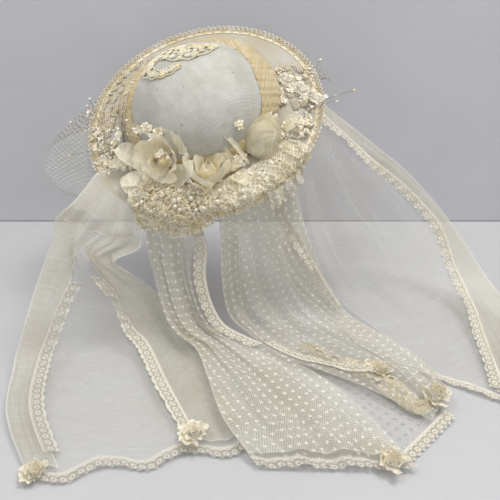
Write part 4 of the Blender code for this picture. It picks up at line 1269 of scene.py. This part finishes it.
# %% Pearls and thread loops on the ruffles
chance = Random(5)
strewn, snippets = bmesh.new(), bmesh.new()
for surface, count in ((left_ruffle, 170), (right_ruffle, 40)):
    for _ in range(count):
        along, across = chance.uniform(0.04, 0.96), chance.uniform(0.10, 0.98)
        point = surface(along, across)
        facing = (point - surface(along, max(0, across - 0.1))).cross(Vector((1, 0, 0))).normalized()
        place = point + UP * 0.0016
        size = chance.uniform(0.6, 1.2)
        stamp(strewn, PEARL_BALL if chance.random() < 0.55 else SEED, placed(place, facing, size * 1.2))
    for _ in range(round(count * 2.6)):
        along, across = chance.uniform(0.02, 0.97), chance.uniform(0.15, 0.99)
        point = surface(along, across) + UP * chance.uniform(0.0005, 0.003)
        way = Vector((chance.gauss(0, 1), chance.gauss(0, 1), chance.gauss(0, 0.5)))
        facing = Vector((chance.gauss(0, 0.5), chance.gauss(-0.4, 0.5), 1)).normalized()
        stamp(snippets, FINE_LOOP, placed(point, (facing + way * 0.4).normalized(), chance.uniform(0.6, 1.3)))
add_piece("strewn_pearls", strewn, PEARL)
add_piece("thread_loops", snippets, PALE_THREAD)

# %% The lace frill at the end of the right ruffle
FRILL_NET = net_material(
    "frill net", rgb(216, 211, 194), rgb(202, 192, 164), 0.0036, 0.0006, 0.40, 0.0020, haze=0.25
)
FRILL_ROUTE = [
    (0.00, -31, 0.112), (0.25, -37, 0.126), (0.50, -44, 0.142), (0.75, -54, 0.152), (1.00, -66, 0.152),
]


def frill_surface(along, across):
    """A gathered strip that stands on the brim and leans outwards in deep waves."""
    angle, radius = read_table(FRILL_ROUTE, along)
    wave = sin(2 * pi * 8 * along + 1.3 * across) + 0.5 * sin(2 * pi * 19 * along)
    reach = radius + 0.020 * (across - 0.4) + 0.0016 * wave * across
    height = brim_top(radius) + 0.0040 + 0.0060 * sin(pi * 0.8 * across) + 0.0024 * wave * across
    rough = noise.noise_vector(Vector((along * 26, across * 4, 2))) * 0.0056 * across
    fall = DOWN * 0.008 * smoothstep(0.45, 1.0, across) * smoothstep(0.25, 0.6, along)
    return on_hat(angle, reach, height) + TIPPED.to_3x3() @ rough + fall


frill = add_piece("lace_frill", lay_cloth(frill_surface, 160, 14), FRILL_NET)

# %% [markdown]
# ## The face veil
#
# A strip of open net is sewn under the front of the brim and stands away from the face. Its hang was
# set by a short table of how far it stands out and drops, so the same table shapes the fine sheet.

# %% Face veil
FACE_VEIL_HANG = [
    (0.00, 0.26, 0.10), (0.08, 0.36, 0.38), (0.22, 0.42, 0.80), (0.42, 0.50, 0.98), (0.58, 0.62, 0.84),
    (0.72, 0.90, 0.50), (0.84, 0.98, 0.28), (0.94, 0.60, 0.18), (1.00, 0.20, 0.10),
]


def face_veil_surface(along, across):
    out_share, drop_share = read_table(FACE_VEIL_HANG, along)
    angle = 12 + 202 * along
    clear = 0.2
    radius = BRIM_RADIUS - 0.004 + 0.009 * min(1, across / clear)
    top = on_hat(angle, radius, brim_middle(BRIM_RADIUS) - 0.0026)
    level_out = Vector((top.x, top.y, 0)).normalized()
    hang = max(0.0, (across - clear) / (1 - clear))
    out = 0.064 * out_share * sin(pi / 2 * hang) ** 1.2
    drop = 0.100 * drop_share * hang**1.25
    ripple = 0.0016 * hang * sin(2 * pi * 7 * along) + 0.0006 * hang * sin(2 * pi * 17 * along + 3 * hang)
    return top + level_out * (out + ripple) + DOWN * drop


face_veil = add_piece("face_net", lay_cloth(face_veil_surface, 180, 20), FACE_NET, ("face_veil",))

# %% [markdown]
# ## The four veil panels
#
# Two panels are plain organza and two are spotted net. Each is a long strip that is gathered at the
# brim, hangs, and lies on the table with its lace edges. A cloth simulation would find its own folds,
# but these are the folds of one hat on one day, so a table gives both edges of each panel and the folds
# are waves across it, which follow the cloth down to the hem.

# %% Panels as surfaces
PLAIN_LEFT_ROWS = [
    (0.00, -0.56, 0.26, 0.25, -0.36, 0.30, 0.34, 0.0, 0.0),
    (0.10, -0.66, 0.27, 0.29, -0.33, 0.32, 0.42, 0.2, 0.4),
    (0.22, -0.78, 0.28, 0.38, -0.33, 0.34, 0.50, 0.2, 0.8),
    (0.33, -0.79, 0.30, 0.46, -0.46, 0.37, 0.55, 0.2, 1.0),
    (0.44, -0.84, 0.35, 0.56, -0.32, 0.37, 0.65, 0.1, 0.9),
    (0.58, -0.91, 0.46, 0.74, -0.16, 0.35, 0.82, 0.0, 0.7),
    (0.72, -0.97, 0.58, 0.94, -0.02, 0.41, 0.955, 0.0, 0.5),
    (0.86, -0.90, 0.78, 0.965, 0.10, 0.62, 0.965, 0.0, 0.4),
    (1.00, -0.70, 0.985, 0.985, 0.24, 0.86, 0.985, 0.0, 0.3),
]
PLAIN_RIGHT_ROWS = [
    (0.00, 0.33, 0.18, 0.12, 0.38, -0.02, -0.04, 0.0, 0.0),
    (0.10, 0.29, 0.18, 0.20, 0.42, -0.03, 0.02, 0.2, 0.3),
    (0.24, 0.29, 0.18, 0.38, 0.54, -0.05, 0.18, 0.3, 0.6),
    (0.40, 0.32, 0.17, 0.62, 0.66, -0.06, 0.34, 0.3, 0.9),
    (0.56, 0.38, 0.14, 0.86, 0.80, -0.02, 0.58, 0.2, 1.0),
    (0.70, 0.46, 0.22, 0.955, 0.92, 0.10, 0.84, 0.1, 0.7),
    (0.85, 0.55, 0.38, 0.965, 0.98, 0.36, 0.955, 0.0, 0.4),
    (1.00, 0.61, 0.53, 0.985, 0.985, 0.80, 0.985, 0.0, 0.3),
]
SPOTTED_LEFT_ROWS = [
    (0.00, -0.24, 0.30, 0.38, 0.02, 0.31, 0.39, 0.0, 0.0),
    (0.12, -0.23, 0.305, 0.47, 0.03, 0.32, 0.49, 0.1, 0.4),
    (0.26, -0.19, 0.35, 0.64, 0.02, 0.35, 0.65, 0.2, 0.9),
    (0.40, -0.13, 0.43, 0.82, 0.06, 0.38, 0.81, 0.2, 1.0),
    (0.52, -0.02, 0.50, 0.905, 0.14, 0.41, 0.905, 0.0, 0.9),
    (0.66, 0.04, 0.64, 0.915, 0.32, 0.52, 0.915, 0.0, 0.8),
    (0.84, 0.11, 0.82, 0.935, 0.56, 0.70, 0.935, 0.0, 0.8),
    (1.00, 0.21, 0.94, 0.98, 0.76, 0.95, 0.98, 0.0, 0.7),
]
SPOTTED_RIGHT_ROWS = [
    (0.00, 0.09, 0.33, 0.36, 0.38, 0.24, 0.16, 0.0, 0.0),
    (0.12, 0.085, 0.33, 0.47, 0.40, 0.25, 0.30, 0.1, 0.4),
    (0.28, 0.085, 0.33, 0.66, 0.46, 0.27, 0.52, 0.2, 0.9),
    (0.42, 0.11, 0.34, 0.85, 0.55, 0.28, 0.74, 0.2, 1.0),
    (0.55, 0.20, 0.38, 0.955, 0.66, 0.32, 0.90, 0.1, 0.9),
    (0.70, 0.36, 0.50, 0.972, 0.80, 0.43, 0.93, 0.0, 0.8),
    (0.85, 0.66, 0.66, 0.965, 0.92, 0.55, 0.94, 0.0, 0.8),
    (1.00, 0.88, 0.80, 0.975, 0.985, 0.68, 0.975, 0.0, 0.6),
]
FRONT_REACH = 0.345


def veil_panel(rows, reach, start, end, over, folds, swell=0.009, hem_wave=0.0, edge_hold=0.25):
    """A panel as a function of its share along and across. folds are (count, depth, shift, lean)."""

    @lru_cache(maxsize=4096)
    def edges(along):
        return tuple(read_table(rows, along))

    def sewn_edge(across):
        angle = start + (end - start) * across
        if over:
            radius = rim_share(0.61)
            return on_hat(angle, radius, brim_top(radius) + 0.001)
        radius = BRIM_RADIUS - 0.008
        return on_hat(angle, radius, brim_middle(radius) - BRIM_WALL / 2 - 0.001)

    def rim_crossing(across):
        angle = start + (end - start) * across
        return on_hat(angle, BRIM_RADIUS + 0.0025, brim_top(BRIM_RADIUS) + 0.0066)

    def hanging(along, across):
        one_x, one_y, one_z, two_x, two_y, two_z, full, depth = edges(along)
        one = Vector((one_x * reach, -one_y * FRONT_REACH, -one_z * FALL_HEIGHT))
        two = Vector((two_x * reach, -two_y * FRONT_REACH, -two_z * FALL_HEIGHT))
        point = one.lerp(two, across)
        level_out = Vector((point.x, point.y, 0)).normalized()
        lying = smoothstep(0.85 * FALL_HEIGHT, 0.97 * FALL_HEIGHT, -point.z)
        facing = (level_out * (1 - lying) + UP * lying).normalized()
        point += facing * swell * full * 4 * across * (1 - across)
        inside = max(0.0, 4 * across * (1 - across))
        for count, fold, shift, lean in folds:
            wave = sin(2 * pi * count * across + shift + lean * along)
            flat = (1 - 0.45 * lying) * (edge_hold + (1 - edge_hold) * inside**0.5)
            point += facing * fold * max(depth, 0.25) * (wave * flat + 0.5 * lying)
        point.z = max(point.z, -FALL_HEIGHT + 0.0012)
        return point

    def surface(along, across):
        along += hem_wave * smoothstep(0.80, 1.0, along) * cos(2 * pi * (across - 0.52) / 0.38)
        if over:
            if along < 0.06:
                return sewn_edge(across).lerp(rim_crossing(across), smoothstep(0, 0.06, along))
            return rim_crossing(across).lerp(hanging(along, across), smoothstep(0.06, 0.15, along))
        fall = DOWN * FALL_HEIGHT * 0.6 * along
        return (sewn_edge(across) + fall).lerp(hanging(along, across), smoothstep(0, 0.16, along))

    return surface


plain_left = veil_panel(
    PLAIN_LEFT_ROWS, 0.214, 204, 235, True,
    [(3, 0.006, 0.0, 1.3), (7.8, 0.0021, 0.6, -2.0), (17, 0.0003, 0.3, 4.0)], 0.009, 0.012,
)
plain_right = veil_panel(
    PLAIN_RIGHT_ROWS, 0.408, 333, 366, False,
    [(3, 0.007, 0.0, 1.3), (7.8, 0.0024, 0.0, -2.0), (15, 0.0006, 1.3, 5.0)], 0.012,
)
spotted_left = veil_panel(
    SPOTTED_LEFT_ROWS, 0.275, 236, 262, False,
    [(3, 0.006, 1.0, 1.3), (7.3, 0.0024, 2.1, -2.0), (19, 0.0005, 0.0, 3.0)], 0.008,
)
spotted_right = veil_panel(
    SPOTTED_RIGHT_ROWS, 0.275, 272, 318, False,
    [(3, 0.006, 2.2, 1.3), (7.3, 0.0024, 4.6, -2.0), (19, 0.0005, 1.0, 3.0)], 0.008,
)


# %% Materials of the veils
VEIL_ORGANZA = organza_material(
    "veil organza", rgb(224, 223, 214), rgb(217, 213, 198), 0.24, 0.32, hem_cover=0.55, relief=0.1
)
RETURN_ORGANZA = organza_material(
    "turned veil organza", rgb(220, 215, 198), rgb(212, 204, 180), 0.38, 0.44, hem_cover=0.66, relief=0.15
)


def lace_material(name, fresh, aged, width, repeat, ground):
    material, tree, shader = new_material(name, 0.6, {"Sheen Weight": 0.3})
    threads = cloth_coordinates(tree)
    place = add_node(tree, "ShaderNodeTexCoord").outputs["Object"]
    age = use_group(tree, AGEING, {"Vector": place, "Patches": 50.0, "Fresh": fresh, "Aged": aged})
    motif = use_group(tree, LACE, {"Vector": threads, "Width": width, "Repeat": repeat})[0]
    mesh = use_group(tree, NET, {"Vector": threads, "Cell": 0.0018, "Thread": 0.0006})[0]
    solid = maths(tree, "MAXIMUM", maths(tree, "MULTIPLY", motif, 0.9), maths(tree, "MULTIPLY", mesh, 0.40))
    alpha = blend_range(tree, solid, 0, 1, ground, 1.0)
    colour = mix_colour(tree, motif, age[0], fresh)
    wire_up(tree, shader, Base_Color=colour, Alpha=alpha, Normal=bump(tree, motif, 0.0005))
    return material


EDGING_LACE = lace_material("edging lace", rgb(230, 224, 205), rgb(212, 203, 177), 0.015, 0.0085, 0.40)
FAINT_LACE = lace_material("faint edging lace", rgb(214, 209, 194), rgb(203, 196, 177), 0.015, 0.0085, 0.28)
BUNCHED_LACE = lace_material("bunched lace", rgb(242, 235, 212), rgb(222, 206, 166), 0.012, 0.0085, 0.72)


# %% Sheets of the veils
def veil_sheet(name, surface, columns, rows, material, stands_for, flat):
    sheet = add_piece(
        name, lay_cloth(lambda across, along: surface(along, across), columns, rows),
        material, stands_for,
    )
    area = sum(face.area for face in sheet.data.polygons)
    print(name, "cloth area", round(area, 4), "cut", flat, round(area / (flat[0] * flat[1]), 2))
    return sheet


def lace_strip(
    name, surface, route, width, side, stands_for=(), lift=0.0012, hem_of=None, material=EDGING_LACE
):
    """Edging lace that lies on a panel. route is (along, across) pairs; side is which way it widens."""
    stops = [(index / (len(route) - 1), *pair) for index, pair in enumerate(route)]
    length = sum(
        (surface(*one) - surface(*two)).length for one, two in zip(route, route[1:])
    )
    scallops = max(4, round(length / 0.0085))

    def strip(along, across):
        at, over = read_table(stops, along)
        here = surface(at, over)
        if hem_of:
            ahead = (surface(min(1, at), over) - surface(min(1, at) - 0.02, over)).normalized()
        else:
            ahead = (surface(at, over + 0.04 * side) - here).normalized()
        flow = surface(at - 0.02, over) - surface(at + 0.01, over)
        facing = ahead.cross(flow).normalized()
        if facing.z < 0:
            facing = -facing
        edge = 0.0022 * abs(sin(pi * scallops * along)) - 0.0012
        ripple = 0.0010 * sin(2 * pi * scallops * along / 2.5) * across
        reach = width * across + edge * smoothstep(0.6, 1, across)
        spot = here + ahead * reach + facing * (lift + ripple)
        spot.z = max(spot.z, -FALL_HEIGHT + 0.0015)
        return spot

    return add_piece(
        name, lay_cloth(strip, scallops * 6, 4, hem=0.0008, ribbon=True), material, stands_for
    )


def along_hem(first=0.0, last=1.0, stops=9):
    return [(1.0, first + (last - first) * k / (stops - 1)) for k in range(stops)]


hem_plain_left = lace_strip(
    "hem_plain_left", plain_left, along_hem(0.0, 1.0, 25), 0.012, 1, ("lace_hem_plain_left",), 0.0, True,
    FAINT_LACE,
)
hem_plain_right = lace_strip(
    "hem_plain_right", plain_right, along_hem(), 0.012, 1, ("lace_hem_plain_right",), 0.0, True
)
hem_spotted_left = lace_strip(
    "hem_spotted_left", spotted_left, along_hem(), 0.011, 1, ("lace_hem_dotted_left",), 0.0, True,
    FAINT_LACE,
)
left_inner = lace_strip(
    "lace_plain_left_inner", plain_left,
    [(0.50, 0.21), (0.56, 0.17), (0.645, 0.13), (0.74, 0.11), (0.85, 0.10), (0.95, 0.10)],
    0.0155, 1, lift=0.003, material=FAINT_LACE,
)
left_outer = lace_strip(
    "lace_plain_left_outer", plain_left,
    [(0.47, 0.55), (0.53, 0.62), (0.60, 0.67), (0.67, 0.70), (0.76, 0.73), (0.86, 0.76), (0.97, 0.79)],
    0.016, -1, lift=0.003,
)
right_edge = lace_strip(
    "lace_plain_right_edge", plain_right,
    [(0.06, 0.78), (0.16, 0.86), (0.27, 0.89), (0.38, 0.92), (0.48, 0.94), (0.57, 0.94), (0.66, 0.88),
     (0.77, 0.77), (0.88, 0.67), (0.98, 0.57)], 0.014, -1, lift=0.003,
)
spotted_left_edges = [
    lace_strip(
        "lace_spotted_left_inner", spotted_left,
        [(0.02, 0.99), (0.12, 0.99), (0.26, 0.99), (0.40, 0.99), (0.52, 0.99), (0.62, 0.99)], 0.014, -1,
        lift=0.002,
    ),
]
spotted_right_edges = [
    lace_strip(
        "lace_spotted_right_inner", spotted_right,
        [(0.62, 0.02), (0.68, 0.03), (0.74, 0.08), (0.80, 0.18), (0.85, 0.28)], 0.012, 1, lift=0.003,
    ),
    lace_strip(
        "lace_spotted_right_outer", spotted_right,
        [(0.05, 0.84), (0.14, 0.86), (0.24, 0.92), (0.34, 0.98), (0.42, 1.01), (0.50, 1.02)], 0.013, -1,
        lift=0.003,
    ),
]


# %% The lace that starts on the brim
BRIM_LACE_ROUTE = [
    (0.0, 17, 0.108), (0.25, 10, 0.115), (0.5, 3, 0.124), (0.75, 356, 0.136), (1.0, 351, 0.150),
]


def lace_on_brim(along, across):
    stops = [(share, angle if angle < 180 else angle - 360, radius) for share, angle, radius in BRIM_LACE_ROUTE]
    angle, radius = read_table(stops, along)
    middle = on_hat(angle, radius, 0)
    ahead = on_hat(*read_table(stops, min(1, along + 0.02)), 0)
    behind = on_hat(*read_table(stops, max(0, along - 0.02)), 0)
    up = hat_way(0, 90)
    aside = up.cross((ahead - behind).normalized())
    scallop = 0.0016 * abs(sin(pi * 8 * along)) * abs(2 * across - 1)
    wave = 0.0018 * sin(2 * pi * 4 * along + 3 * across) + 0.0010 * sin(2 * pi * 9 * along) * across
    reach = (2 * across - 1) * 0.0072
    height = brim_top(min(radius, BRIM_RADIUS)) + 0.0030 + 0.0016 * sin(pi * across) + wave
    height += 0.004 * smoothstep(0.6, 1, along)
    return middle + aside * (reach + scallop * (1 if across > 0.5 else -1)) + up * height


start_lace = add_piece("lace_on_brim", lay_cloth(lace_on_brim, 60, 6, hem=0.0008, ribbon=True), EDGING_LACE)

# %% The panels themselves
veil_sheet(
    "veil_plain_left", plain_left, 120, 170, VEIL_ORGANZA, ("veil_plain_left",),
    (0.17, 0.46),
)
veil_sheet(
    "veil_plain_right", plain_right, 120, 170, VEIL_ORGANZA, ("veil_plain_right",),
    (0.17, 0.48),
)
veil_sheet(
    "veil_spotted_left", spotted_left, 150, 170, SPOTTED_NET, ("veil_dotted_left",),
    (0.12, 0.40),
)
veil_sheet(
    "veil_spotted_right", spotted_right, 150, 170, SPOTTED_NET, ("veil_dotted_right",),
    (0.14, 0.39),
)


# %% [markdown]
# ## Turned-back cloth
#
# Each panel is wider than it looks: its sides are turned back over it, so the cloth is doubled there
# and the lace edge runs down the middle. The turned parts are sheets of their own that lie a
# little over the panel. Doubling the whole mesh would also thicken it, but then the clear strip
# between the two lace edges would be lost.

# %% Turned-back sides
def turned_side(surface, route, outer_edge, lift, folds):
    """The part of a panel between its outer edge and the lace, lying over the panel."""
    stops = [(at, over) for at, over in route]

    def turned(along, across):
        at = stops[0][0] + (stops[-1][0] - stops[0][0]) * along
        over = read_table(stops, at)[0]
        there = outer_edge + (over - outer_edge) * across
        point = surface(at, there)
        puff = lift * (0.4 + 0.6 * sin(pi * across))
        puff += 0.0012 * sin(2 * pi * folds * across + 5 * along) + 0.001
        out = Vector((point.x, point.y, 0)).normalized()
        lying = smoothstep(0.85 * FALL_HEIGHT, 0.97 * FALL_HEIGHT, -point.z)
        return point + (out * (1 - lying) * puff + UP * lying * puff)

    return turned


turned_back = [
    ("turned_left_top", plain_left, [(0.01, 0.99), (0.08, 0.99), (0.15, 0.92), (0.21, 0.74)],
     0.02, 0.002, 2, RETURN_ORGANZA, 0.05),
    ("turned_left_outer", plain_left,
     [(0.16, 0.55), (0.34, 0.47), (0.47, 0.27), (0.55, 0.20), (0.65, 0.17), (0.85, 0.14), (0.99, 0.14)],
     0.0, 0.002, 3, RETURN_ORGANZA, 0.09),
    ("turned_left_inner", plain_left,
     [(0.16, 0.62), (0.34, 0.48), (0.44, 0.50), (0.52, 0.60), (0.60, 0.65), (0.76, 0.71), (0.99, 0.76)],
     1.0, 0.002, 3, RETURN_ORGANZA, 0.05),
    ("turned_right", plain_right,
     [(0.06, 0.74), (0.27, 0.84), (0.48, 0.89), (0.57, 0.89), (0.77, 0.72), (0.99, 0.52)],
     1.0, 0.003, 2, RETURN_ORGANZA, 0.04),
    ("turned_spotted_right", spotted_right,
     [(0.05, 0.15), (0.12, 0.26), (0.26, 0.49), (0.43, 0.71), (0.56, 0.80), (0.75, 0.66), (0.99, 0.40)],
     1.0, 0.006, 4, SPOTTED_NET, 0.07),
    ("turned_spotted_edge", spotted_right, [(0.03, 0.22), (0.3, 0.20), (0.5, 0.14), (0.62, 0.08)],
     0.0, 0.003, 2, SPOTTED_NET, 0.02),
    ("turned_spotted_left", spotted_left,
     [(0.04, 0.60), (0.30, 0.60), (0.55, 0.80), (0.69, 0.84), (0.78, 0.80), (0.86, 0.82), (0.99, 0.97)],
     0.0, 0.006, 4, SPOTTED_NET, 0.07),
]
for name, surface, route, edge, lift, folds, material, width in turned_back:
    turned = turned_side(surface, route, edge, lift, folds)
    piece = add_piece(
        name, lay_cloth(lambda across, along: turned(along, across), 48, 130), material,
    )


# %% [markdown]
# ## The flat layer and the gathered corners
#
# Between the spotted panels one layer of net lies flat on the table, and the lace at the corners of the
# hems is bunched into small rosettes. Both are made from known points on the table: the layer as a
# grid between four corners, a rosette as a strip of lace that runs round in a rising spiral.

# %% Flat layer
def on_table(x, y, lift=0.0):
    return Vector((x, y, -FALL_HEIGHT + 0.0016 + lift))


FLAT_CORNERS = [
    (on_table(0.070, -0.190), on_table(0.150, -0.120)),
    (on_table(0.197, -0.321), on_table(0.263, -0.255)),
]


def flat_layer(along, across):
    (near_left, near_right), (far_left, far_right) = FLAT_CORNERS
    left = near_left.lerp(far_left, along)
    right = near_right.lerp(far_right, along)
    ripple = 0.0009 * (1 + sin(9 * along + 4 * across))
    return left.lerp(right, across) + UP * ripple


flat_piece = add_piece(
    "veil_spotted_flat", lay_cloth(lambda across, along: flat_layer(along, across), 40, 60), FLAT_NET
)
flat_hem = lace_strip(
    "hem_spotted_right", lambda at, over: flat_layer(at, over) + UP * 0.001,
    [(1.0, over / 8) for over in range(9)], 0.013, 1, ("lace_hem_dotted_right",), 0.0, True,
)


# %% Bunched lace corners
def lace_bunch(name, middle, radius, turns, seed, height=0.016):
    """Lace gathered on a thread: a strip that runs round and round, wide waves along its free edge."""

    def rosette(along, across):
        at = 2 * pi * turns * along
        ruffled = 1 + across * (0.08 * sin(5.3 * at + seed) + 0.07 * sin(11.7 * at + 2 * seed))
        reach = radius * (0.10 + 0.62 * along) * ruffled * (0.60 + 0.50 * across)
        rise = height * (0.25 + (0.75 - 0.60 * along) * across + 0.10 * sin(7.9 * at + seed) * across)
        crumple = noise.noise_vector(Vector((reach * cos(at) * 110, reach * sin(at) * 110, seed))) * 0.0026
        spot = middle + Vector((reach * cos(at), reach * sin(at), rise)) + crumple * across
        spot.z = max(spot.z, -FALL_HEIGHT + 0.0012)
        return spot

    piece = add_piece(
        name, lay_cloth(rosette, int(70 * turns), 7, hem=0.001, ribbon=True), BUNCHED_LACE
    )


lace_bunch("lace_corner_left", on_table(-0.141, -0.340), 0.019, 2.8, 1, 0.013)
lace_bunch("lace_corner_plain_middle", on_table(0.003, -0.298, 0.008), 0.023, 2.8, 2, 0.012)
lace_bunch("lace_corner_spotted_right", on_table(0.257, -0.242, 0.006), 0.024, 2.8, 3, 0.016)
lace_bunch("lace_corner_spotted_left", on_table(0.192, -0.331, 0.004), 0.020, 2.8, 4, 0.015)
lace_bunch("lace_gathers_spotted", on_table(0.203, -0.202, 0.008), 0.026, 2.9, 5, 0.013)

# %% The gathered side of the right spotted panel
GATHERED_NET = net_material(
    "gathered net", rgb(232, 222, 194), rgb(214, 197, 154), 0.0021, 0.0003, 0.50, 0.0020, haze=0.30
)
GATHERED_ROUTE = [
    (0.00, 0.118, -0.149), (0.24, 0.163, -0.180), (0.44, 0.194, -0.199), (0.66, 0.220, -0.234),
    (0.84, 0.234, -0.254), (1.00, 0.247, -0.250),
]


def gathered_side(along, across):
    """The long side of the net drawn up on its thread: a low roll with small uneven pleats."""
    x, y = read_table(GATHERED_ROUTE, along)
    ahead = Vector(read_table(GATHERED_ROUTE, min(1, along + 0.02)))
    behind = Vector(read_table(GATHERED_ROUTE, max(0, along - 0.02)))
    way = (ahead - behind).normalized()
    width = 0.011 + 0.015 * smoothstep(0.15, 0.45, along) * smoothstep(1.1, 0.7, along)
    pleat = sin(2 * pi * 15 * along + 2.2 * across) + 0.6 * sin(2 * pi * 37 * along - 3 * across)
    rise = 0.0045 + 0.0085 * sin(pi * across) ** 0.7 + 0.0011 * pleat * sin(pi * across)
    rough = noise.noise_vector(Vector((x * 70, y * 70, 5 * across))) * 0.0050 * sin(pi * across) ** 0.5
    spot = on_table(x, y, rise) + Vector((-way.y, way.x, 0)) * width * (across - 0.5) + rough
    spot.z = max(spot.z, -FALL_HEIGHT + 0.0020)
    return spot


gathered = add_piece("spotted_gathers", lay_cloth(gathered_side, 220, 12), GATHERED_NET)

# %% [markdown]
# ## The table, the wall and the light
#
# The hat stands on pale cloth in front of a pale wall, under soft daylight from above. The wall shows
# only its front, so that the hat can be seen from any side. A photographer would use one large soft
# light and a reflector, and so does this scene.

# %% Floor and wall
def stage_material(name, base, other, one_sided=False):
    material, tree, shader = new_material(name, 0.85, {"Specular IOR Level": 0.2})
    place = add_node(tree, "ShaderNodeTexCoord").outputs["Object"]
    age = use_group(tree, AGEING, {"Vector": place, "Patches": 2.2, "Fresh": base, "Aged": other})
    soft = add_node(tree, "ShaderNodeTexNoise", {"Vector": place, "Scale": 5.0, "Detail": 2.0})
    wire_up(tree, shader, Base_Color=age[0], Normal=bump(tree, soft.outputs[0], 0.02, 0.25))
    if one_sided:
        behind = add_node(tree, "ShaderNodeNewGeometry").outputs["Backfacing"]
        see_through = add_node(tree, "ShaderNodeBsdfTransparent")
        pick = add_node(tree, "ShaderNodeMixShader", {0: behind, 1: shader.outputs[0]})
        tree.links.new(see_through.outputs[0], pick.inputs[2])
        tree.links.new(pick.outputs[0], tree.nodes["Material Output"].inputs["Surface"])
    return material


def stage_sheet(name, material, size, place):
    plane = bmesh.new()
    bmesh.ops.create_grid(plane, x_segments=2, y_segments=2, size=size, matrix=place)
    mesh = bpy.data.meshes.new(name)
    plane.to_mesh(mesh)
    plane.free()
    mesh.materials.append(material)
    sheet = bpy.data.objects.new(name, mesh)
    bpy.context.scene.collection.objects.link(sheet)


stage_sheet(
    "floor", stage_material("table cloth", rgb(199, 199, 199), rgb(193, 193, 194)), 3.0,
    Matrix.Translation((0, 0, -FALL_HEIGHT - 0.0004)),
)
# A thin dark strip where the wall meets the table: a painted shadow line, not a part of the wall.
stage_sheet(
    "painted_shadow_line", stage_material("shadow line", rgb(150, 150, 156), rgb(140, 140, 146), True), 3.0,
    Matrix.Translation((0, 0.236, -FALL_HEIGHT)) @ Matrix.Diagonal((1, 1, 0.0006, 1)) @ Matrix.Rotation(pi / 2, 4, "X"),
)
stage_sheet(
    "wall", stage_material("wall paint", rgb(211, 210, 215), rgb(205, 205, 208), True), 3.0,
    Matrix.Translation((0, 0.237, 0)) @ Matrix.Rotation(pi / 2, 4, "X"),
)


# %% Light
def soft_light(name, place, aim, size, power, tint=(1, 1, 1)):
    lamp = bpy.data.lights.new(name, "AREA")
    lamp.shape = "DISK"
    lamp.size = size
    lamp.energy = power
    lamp.color = tint
    holder = bpy.data.objects.new(name, lamp)
    holder.location = place
    holder.rotation_euler = (Vector(aim) - Vector(place)).to_track_quat("-Z", "Y").to_euler()
    bpy.context.scene.collection.objects.link(holder)


soft_light("window", (0.75, -0.15, 2.0), (0.02, 0.05, 0), 1.1, 29, (1.0, 0.985, 0.965))
soft_light("reflector", (-0.9, -0.5, 1.9), (0, 0.1, -0.1), 1.4, 12, (0.98, 0.985, 1.0))
world = bpy.data.worlds.new("room")
bpy.context.scene.world = world
world.use_nodes = True
world.node_tree.nodes["Background"].inputs["Color"].default_value = (0.97, 0.98, 1.0, 1)
world.node_tree.nodes["Background"].inputs["Strength"].default_value = 0.55
bpy.context.scene.view_settings.view_transform = "Standard"
print("lights and stage are in place")
